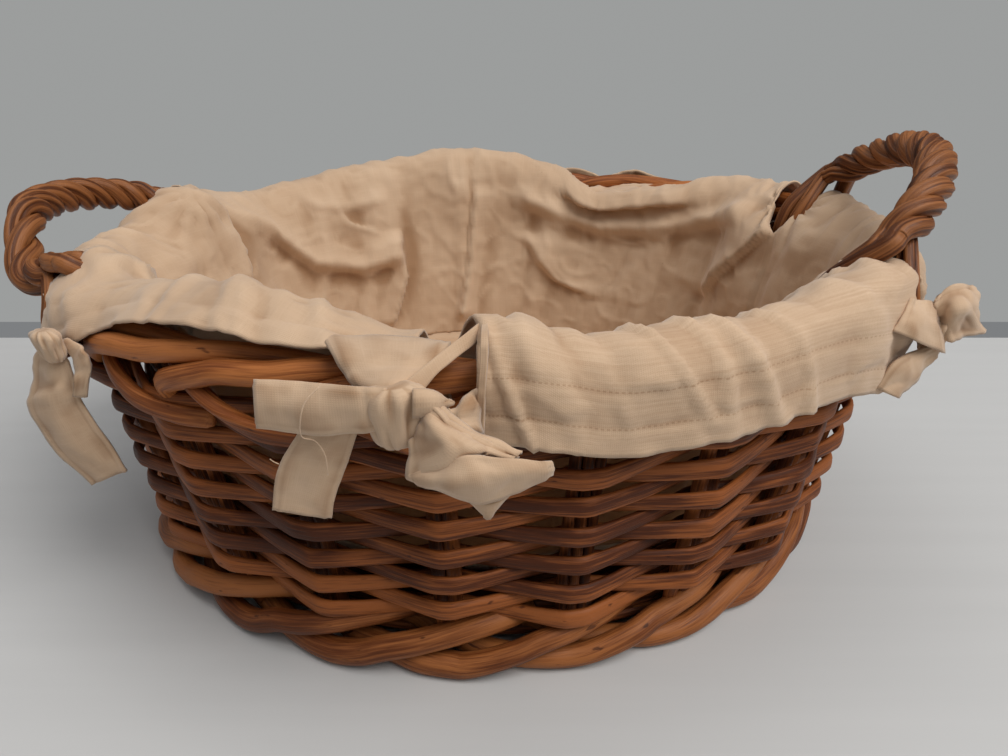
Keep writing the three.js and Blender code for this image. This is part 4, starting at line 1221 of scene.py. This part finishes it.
# The bows' strips of cloth as the photograph shows them, each with a number for its folds, how much it
# crumples and rows of [pixel x, pixel y, y in the frame] points across it
FRONT_STRIPS = {
    "the wide root, over the rim from the left": (1, 0.7, [
        [(323, 337, -160), (369, 338, -165), (412, 339, -168), (451, 341, -168)],
        [(324, 341, -167), (369, 343, -172), (412, 345, -175), (448, 347, -175)],
        [(334, 357, -177), (372, 358, -182), (410, 359, -184), (441, 361, -182)],
        [(346, 376, -184), (375, 374, -190), (404, 373, -191), (428, 375, -188)],
        [(358, 388, -189), (377, 387, -195), (395, 386, -196), (413, 386, -192)],
        [(370, 398, -192), (381, 398, -196), (392, 398, -196), (404, 398, -194)],
    ]),
    "a narrow band from the right flap's corner": (2, 0.5, [
        [(486, 319, -170), (484, 334, -173)], [(473, 328, -175), (474, 344, -178)],
        [(452, 344, -182), (456, 358, -184)], [(432, 360, -188), (438, 373, -190)],
        [(414, 375, -193), (424, 389, -194)], [(400, 388, -196), (408, 402, -196)],
    ]),
    "the rolled edge of the right flap": (12, 0.35, [
        [(482, 321, -171), (488, 320, -171)], [(481, 340, -184.5), (488, 340, -185)],
        [(480, 362, -188.5), (487, 362, -189)], [(478, 390, -189), (485, 391, -189.5)],
        [(477, 415, -188), (484, 416, -188.5)], [(477, 438, -186), (484, 440, -186.5)],
    ]),
    "upper tail on the left": (3, 0.6, [
        [(386, 388, -200), (388, 410, -202), (390, 430, -200)],
        [(366, 387, -199), (368, 409, -201), (370, 432, -199)],
        [(330, 384, -196), (331, 409, -199), (334, 435, -197)],
        [(292, 381, -193), (293, 407, -196), (297, 433, -194)],
        [(254, 379, -190), (255, 404, -193), (257, 427, -191)],
    ]),
    "lower tail on the left": (4, 0.6, [
        [(304, 420, -190), (332, 422, -191), (360, 418, -190)],
        [(295, 438, -189), (324, 440, -191), (355, 440, -189)],
        [(282, 460, -187), (314, 463, -190), (345, 468, -187)],
        [(275, 485, -187), (306, 490, -189), (335, 496, -187)],
        [(272, 510, -187), (301, 514, -188), (332, 517, -186)],
    ]),
    "the folded loop on the right, a pleated funnel": (5, 1.1, [
        [(424, 404, -201), (420, 422, -202), (412, 440, -200)],
        [(440, 414, -203), (431, 432, -207), (411, 452, -201)],
        [(466, 430, -203), (449, 444, -210), (409, 464, -202)],
        [(498, 446, -203), (462, 453, -210), (407, 474, -203)],
        [(520, 457, -204), (468, 457, -208), (407, 478, -204)],
    ]),
    "the loop's upper fold": (9, 0.8, [
        [(436, 402, -199), (428, 408, -203)], [(453, 417, -199), (447, 426, -205)],
        [(472, 432, -200), (464, 443, -207)], [(494, 441, -201), (484, 453, -207)],
        [(520, 456, -203), (512, 460, -206)],
    ]),
    "the loop's turned-up underside": (6, 0.5, [
        [(405, 476, -204), (446, 463, -209), (469, 455, -211), (502, 458, -209), (553, 462, -204)],
        [(409, 480, -204), (443, 480, -212), (475, 480, -214), (511, 476, -211), (554, 468, -204)],
        [(414, 483, -202), (439, 491, -207), (479, 503, -208), (513, 493, -206), (553, 475, -202)],
    ]),
    "the underside's point": (10, 0.4, [
        [(464, 498, -204), (488, 501, -205), (512, 492, -203)],
        [(475, 507, -203), (488, 510, -204), (500, 504, -202)],
        [(486, 515, -201), (488, 516, -202), (490, 514, -201)],
    ]),
    "a tongue beside the knot": (7, 0.6, [
        [(412, 390, -201), (413, 402, -203), (412, 413, -201)],
        [(428, 392, -200), (429, 402, -203), (428, 412, -200)],
        [(442, 397, -198), (443, 402, -200), (442, 407, -198)],
        [(453, 401, -196), (454, 402, -197), (453, 403, -196)],
    ]),
    "gathered cloth behind the knot": (8, 2.0, [
        [(440, 398, -192), (452, 404, -193), (466, 397, -191), (480, 389, -186)],
        [(446, 410, -195), (457, 413, -196), (468, 412, -194), (480, 410, -188)],
        [(452, 422, -197), (461, 426, -199), (470, 430, -197), (480, 434, -190)],
    ]),
}
RIGHT_STRIPS = {
    "cloth left of the loop": (11, 0.8, [
        [(914, 298, -121), (924, 300, -117), (934, 304, -112)],
        [(906, 315, -128), (922, 322, -126), (938, 327, -118)],
        [(897, 331, -132), (920, 343, -128), (942, 353, -118)],
    ]),
    "the loop's front": (14, 1.0, [
        [(934, 300, -114), (936, 315, -116), (940, 338, -115)],
        [(950, 287, -112), (955, 309, -121), (956, 338, -114)],
        [(966, 285, -108), (971, 307, -117), (970, 335, -110)],
        [(974, 288, -102), (977, 309, -106), (976, 331, -102)],
    ]),
    "the loop's back": (15, 0.7, [
        [(974, 288, -102), (977, 309, -106), (976, 331, -102)],
        [(956, 292, -102), (960, 310, -100), (960, 328, -102)],
        [(938, 302, -104), (940, 314, -103), (942, 330, -104)],
    ]),
    "tail": (13, 0.8, [
        [(941, 342, -117), (940, 350, -117), (933, 359, -116)],
        [(918, 350, -122), (921, 362, -124), (922, 375, -120)],
        [(894, 362, -128), (901, 375, -128), (909, 388, -124)],
        [(876, 388, -130), (886, 393, -130), (898, 398, -127)],
    ]),
}
LEFT_STRIPS = {
    "long tail": (18, 0.7, [
        [(64, 340, -117), (54, 341, -120), (44, 342, -116)],
        [(66, 354, -119), (50, 362, -123), (37, 366, -117)],
        [(74, 377, -119), (54, 386, -123), (34, 390, -117)],
        [(82, 400, -118), (58, 408, -121), (33, 410, -116)],
        [(104, 434, -116), (80, 444, -118), (57, 448, -114)],
        [(128, 469, -114), (110, 477, -115), (92, 485, -113)],
    ]),
    "short end beside it": (19, 0.9, [
        [(60, 344, -121), (68, 338, -121)],
        [(68, 354, -124), (80, 347, -125)],
        [(75, 376, -125), (89, 364, -126)],
        [(72, 396, -123), (84, 399, -124)],
    ]),
}
FRONT_THREADS = [
    [
        (319, 387, -201), (305, 402, -203), (300, 422, -203), (302, 437, -198),
        (315, 441, -195), (325, 455, -194), (328, 475, -193),
    ],
    [(270, 459, -189), (274, 462, -188), (279, 464, -189)],
]
# [name, strips, threads, share of the knot, its middle (along, up, out), half sizes, pleats, flat length]
BOWS = [
    ("bow_front", FRONT_STRIPS, FRONT_THREADS, FRONT_GAP, (-8.8, 7.5, 28), (9.6, 12, 7.5), 1, 0.29),
    ("bow_right", RIGHT_STRIPS, [], FEET[0], (9, -4, 28.5), (7, 8, 5.5), 3, 0.113),
    ("bow_left", LEFT_STRIPS, [], FEET[3], (32, 6.5, 25), (7, 7.5, 5), 4, 0.104),
    ("bow_back", {}, [], BACK_GAP, (0, 0, 29), (8, 9.5, 6), 5, 0.33),
]


def back_strips(build):
    """The bow that the photograph hides: a band, and to each side a loop and a tail."""

    def strip(rows, seed, crumple=0.5):
        """Its rows hold [along, up, out] points from the knot's place on the wall."""

        def place(grid):
            return wall(BACK_GAP + grid[:, :, 0] / RIM_LENGTH, KNOT_LEVEL + grid[:, :, 1], grid[:, :, 2])

        ribbon(build, rows, place, seed, crumple)

    strip([
        [(-20, 8, 20), (-18, -8, 20)], [(-9, 7, 22), (-8, -6, 22)], [(0, 6, 26), (0, -5, 26)],
        [(9, 7, 22), (8, -6, 22)], [(20, 8, 20), (18, -8, 20)],
    ], 21)
    for side in (-1, 1):
        loop_end = [(42 * side, 11, 28), (44 * side, 1, 30), (42 * side, -9, 28)]
        strip([
            [(0, 9, 28), (0, 0, 30), (0, -9, 28)],
            [(20 * side, 15, 31), (20 * side, 4, 35), (20 * side, -7, 31)],
            loop_end,
        ], 23 + side, 0.8)
        strip([
            loop_end,
            [(20 * side, 10, 24), (20 * side, 0, 24), (20 * side, -9, 24)],
            [(4 * side, 6, 24), (4 * side, 0, 24), (4 * side, -6, 24)],
        ], 26 + side)
        low = -54 - 3 * side
        strip([
            [(-4, -4, 26), (0, -4, 28), (5, -4, 26)],
            [(5 * side - 8, -24, 26), (6 * side, -24, 28), (5 * side + 8, -24, 26)],
            [(12 * side - 10, low, 25), (13 * side, low - 1, 27), (12 * side + 10, -54, 25)],
        ], 29 + side)


def bows():
    for name, strips, threads, share, middle, halves, seed, length in BOWS:
        build = Build()
        for number, crumple, rows in strips.values():
            rows = [[seen_at(*point) for point in row] for row in rows]
            ribbon(build, rows, np.array, number, crumple)
        for pixels in threads:
            thread(build, pixels)
        if name == "bow_back":
            back_strips(build)
        knot(build, share, middle, halves, seed)
        piece = build.make(f"tied_{name}", COTTON, [name])


lining()
bottom_panel()
bows()

# Surroundings


def flat_material(name, colour, roughness, streaks=0.0, shown=None):
    """A plain surface. The shown colour is the even one that the camera sees in place of the lit one."""
    material, nodes, shader = new_material(name)
    tint = (*colour, 1)
    if streaks:
        place = node(nodes, "TexCoord").outputs["Object"]
        grain = stretched_noise(nodes, place, (1.1, 26, 1), 5.0, scale=2.2)
        tint = ramp(nodes, grain, (0.3, tuple(c * (1 - streaks) for c in colour)), (0.62, colour))
    fill(shader, {"Base Color": tint, "Roughness": roughness})
    if shown:
        seen = node(nodes, "LightPath").outputs["Is Camera Ray"]
        even = node(nodes, "Emission", {"Color": (*shown, 1)}).outputs["Emission"]
        either = node(nodes, "MixShader", {"Fac": seen, 1: shader.outputs["BSDF"], 2: even})
        fill(nodes["Material Output"], {"Surface": either.outputs["Shader"]})
    return material


STAGE_HALF = 6
STAGE_TOP = 5


def stage_sheet(name, near, far, *look, **settings):
    """A wide sheet between two places, each a [y, z] in metres."""
    mesh = bpy.data.meshes.new(name)
    corners = [(-STAGE_HALF, *near), (STAGE_HALF, *near), (STAGE_HALF, *far), (-STAGE_HALF, *far)]
    mesh.from_pydata(corners, [], [(0, 1, 2, 3)])
    mesh.materials.append(flat_material(*look, **settings))
    new_object(name, mesh)


# The board ends just behind the basket, at a narrow darker strip, and plain grey lies beyond it
BOARD_END = (CENTRE[1] + 244) / 1000
STRIP_END = BOARD_END + 0.041
BACK_Y = 3.2
GREY, SHOWN_GREY = (0.37, 0.375, 0.375), (0.332, 0.339, 0.336)
stage_sheet("board", (-STAGE_HALF, 0), (BOARD_END, 0), "pale_board", (0.54, 0.54, 0.536), 0.5, 0.03)
stage_sheet(
    "strip", (BOARD_END, 0), (STRIP_END, 0), "grey_strip", (0.22, 0.225, 0.23), 0.6,
    shown=(0.205, 0.212, 0.218),
)
stage_sheet("beyond", (STRIP_END, 0), (BACK_Y, 0), "plain_grey", GREY, 0.8, shown=SHOWN_GREY)
stage_sheet("backdrop", (BACK_Y, 0), (BACK_Y, STAGE_TOP), "plain_grey_wall", GREY, 0.8, shown=SHOWN_GREY)

# Camera, as fitted to the photograph
SENSOR_WIDTH = 36
camera_data = bpy.data.cameras.new("camera")
camera_data.sensor_width = SENSOR_WIDTH
camera_data.lens = PHOTO_FOCAL / (2 * PHOTO_MIDDLE[0]) * SENSOR_WIDTH
camera_data.clip_start = 0.01
camera = new_object("camera", camera_data)
camera.location = Vector((PHOTO_EYE + CENTRE) / 1000)
camera.rotation_euler = (math.pi / 2 - PHOTO_SLOPE, 0, 0)
bpy.context.scene.camera = camera


def area_light(name, place, size, power, colour):
    """A light that is turned to the middle of the basket."""
    data = bpy.data.lights.new(name, "AREA")
    data.shape = "RECTANGLE"
    data.size, data.size_y = size
    data.energy = power
    data.color = colour
    light = new_object(name, data)
    light.location = place
    light.rotation_euler = (Vector((0, 0, 0.1)) - Vector(place)).to_track_quat("-Z", "Y").to_euler()


area_light("key", (1.35, -1.2, 2.4), (1.7, 1.5), 64, (1.0, 0.985, 0.96))
area_light("ceiling", (-0.3, 0.2, 2.6), (1.8, 1.6), 12, (1.0, 0.99, 0.98))

# A room that is bright overhead and dim around
world = bpy.data.worlds.new("world")
world.use_nodes = True
world_nodes = world.node_tree.nodes
direction = node(world_nodes, "TexCoord").outputs["Generated"]
upwards = node(world_nodes, "SeparateXYZ", {"Vector": direction}).outputs["Z"]
glow = mapped(world_nodes, upwards, -0.1, 0.8, 0.03, 0.5)
fill(world_nodes["Background"], {"Color": (0.97, 0.98, 1.0, 1), "Strength": glow})
bpy.context.scene.world = world
bpy.context.scene.view_settings.view_transform = "Standard"
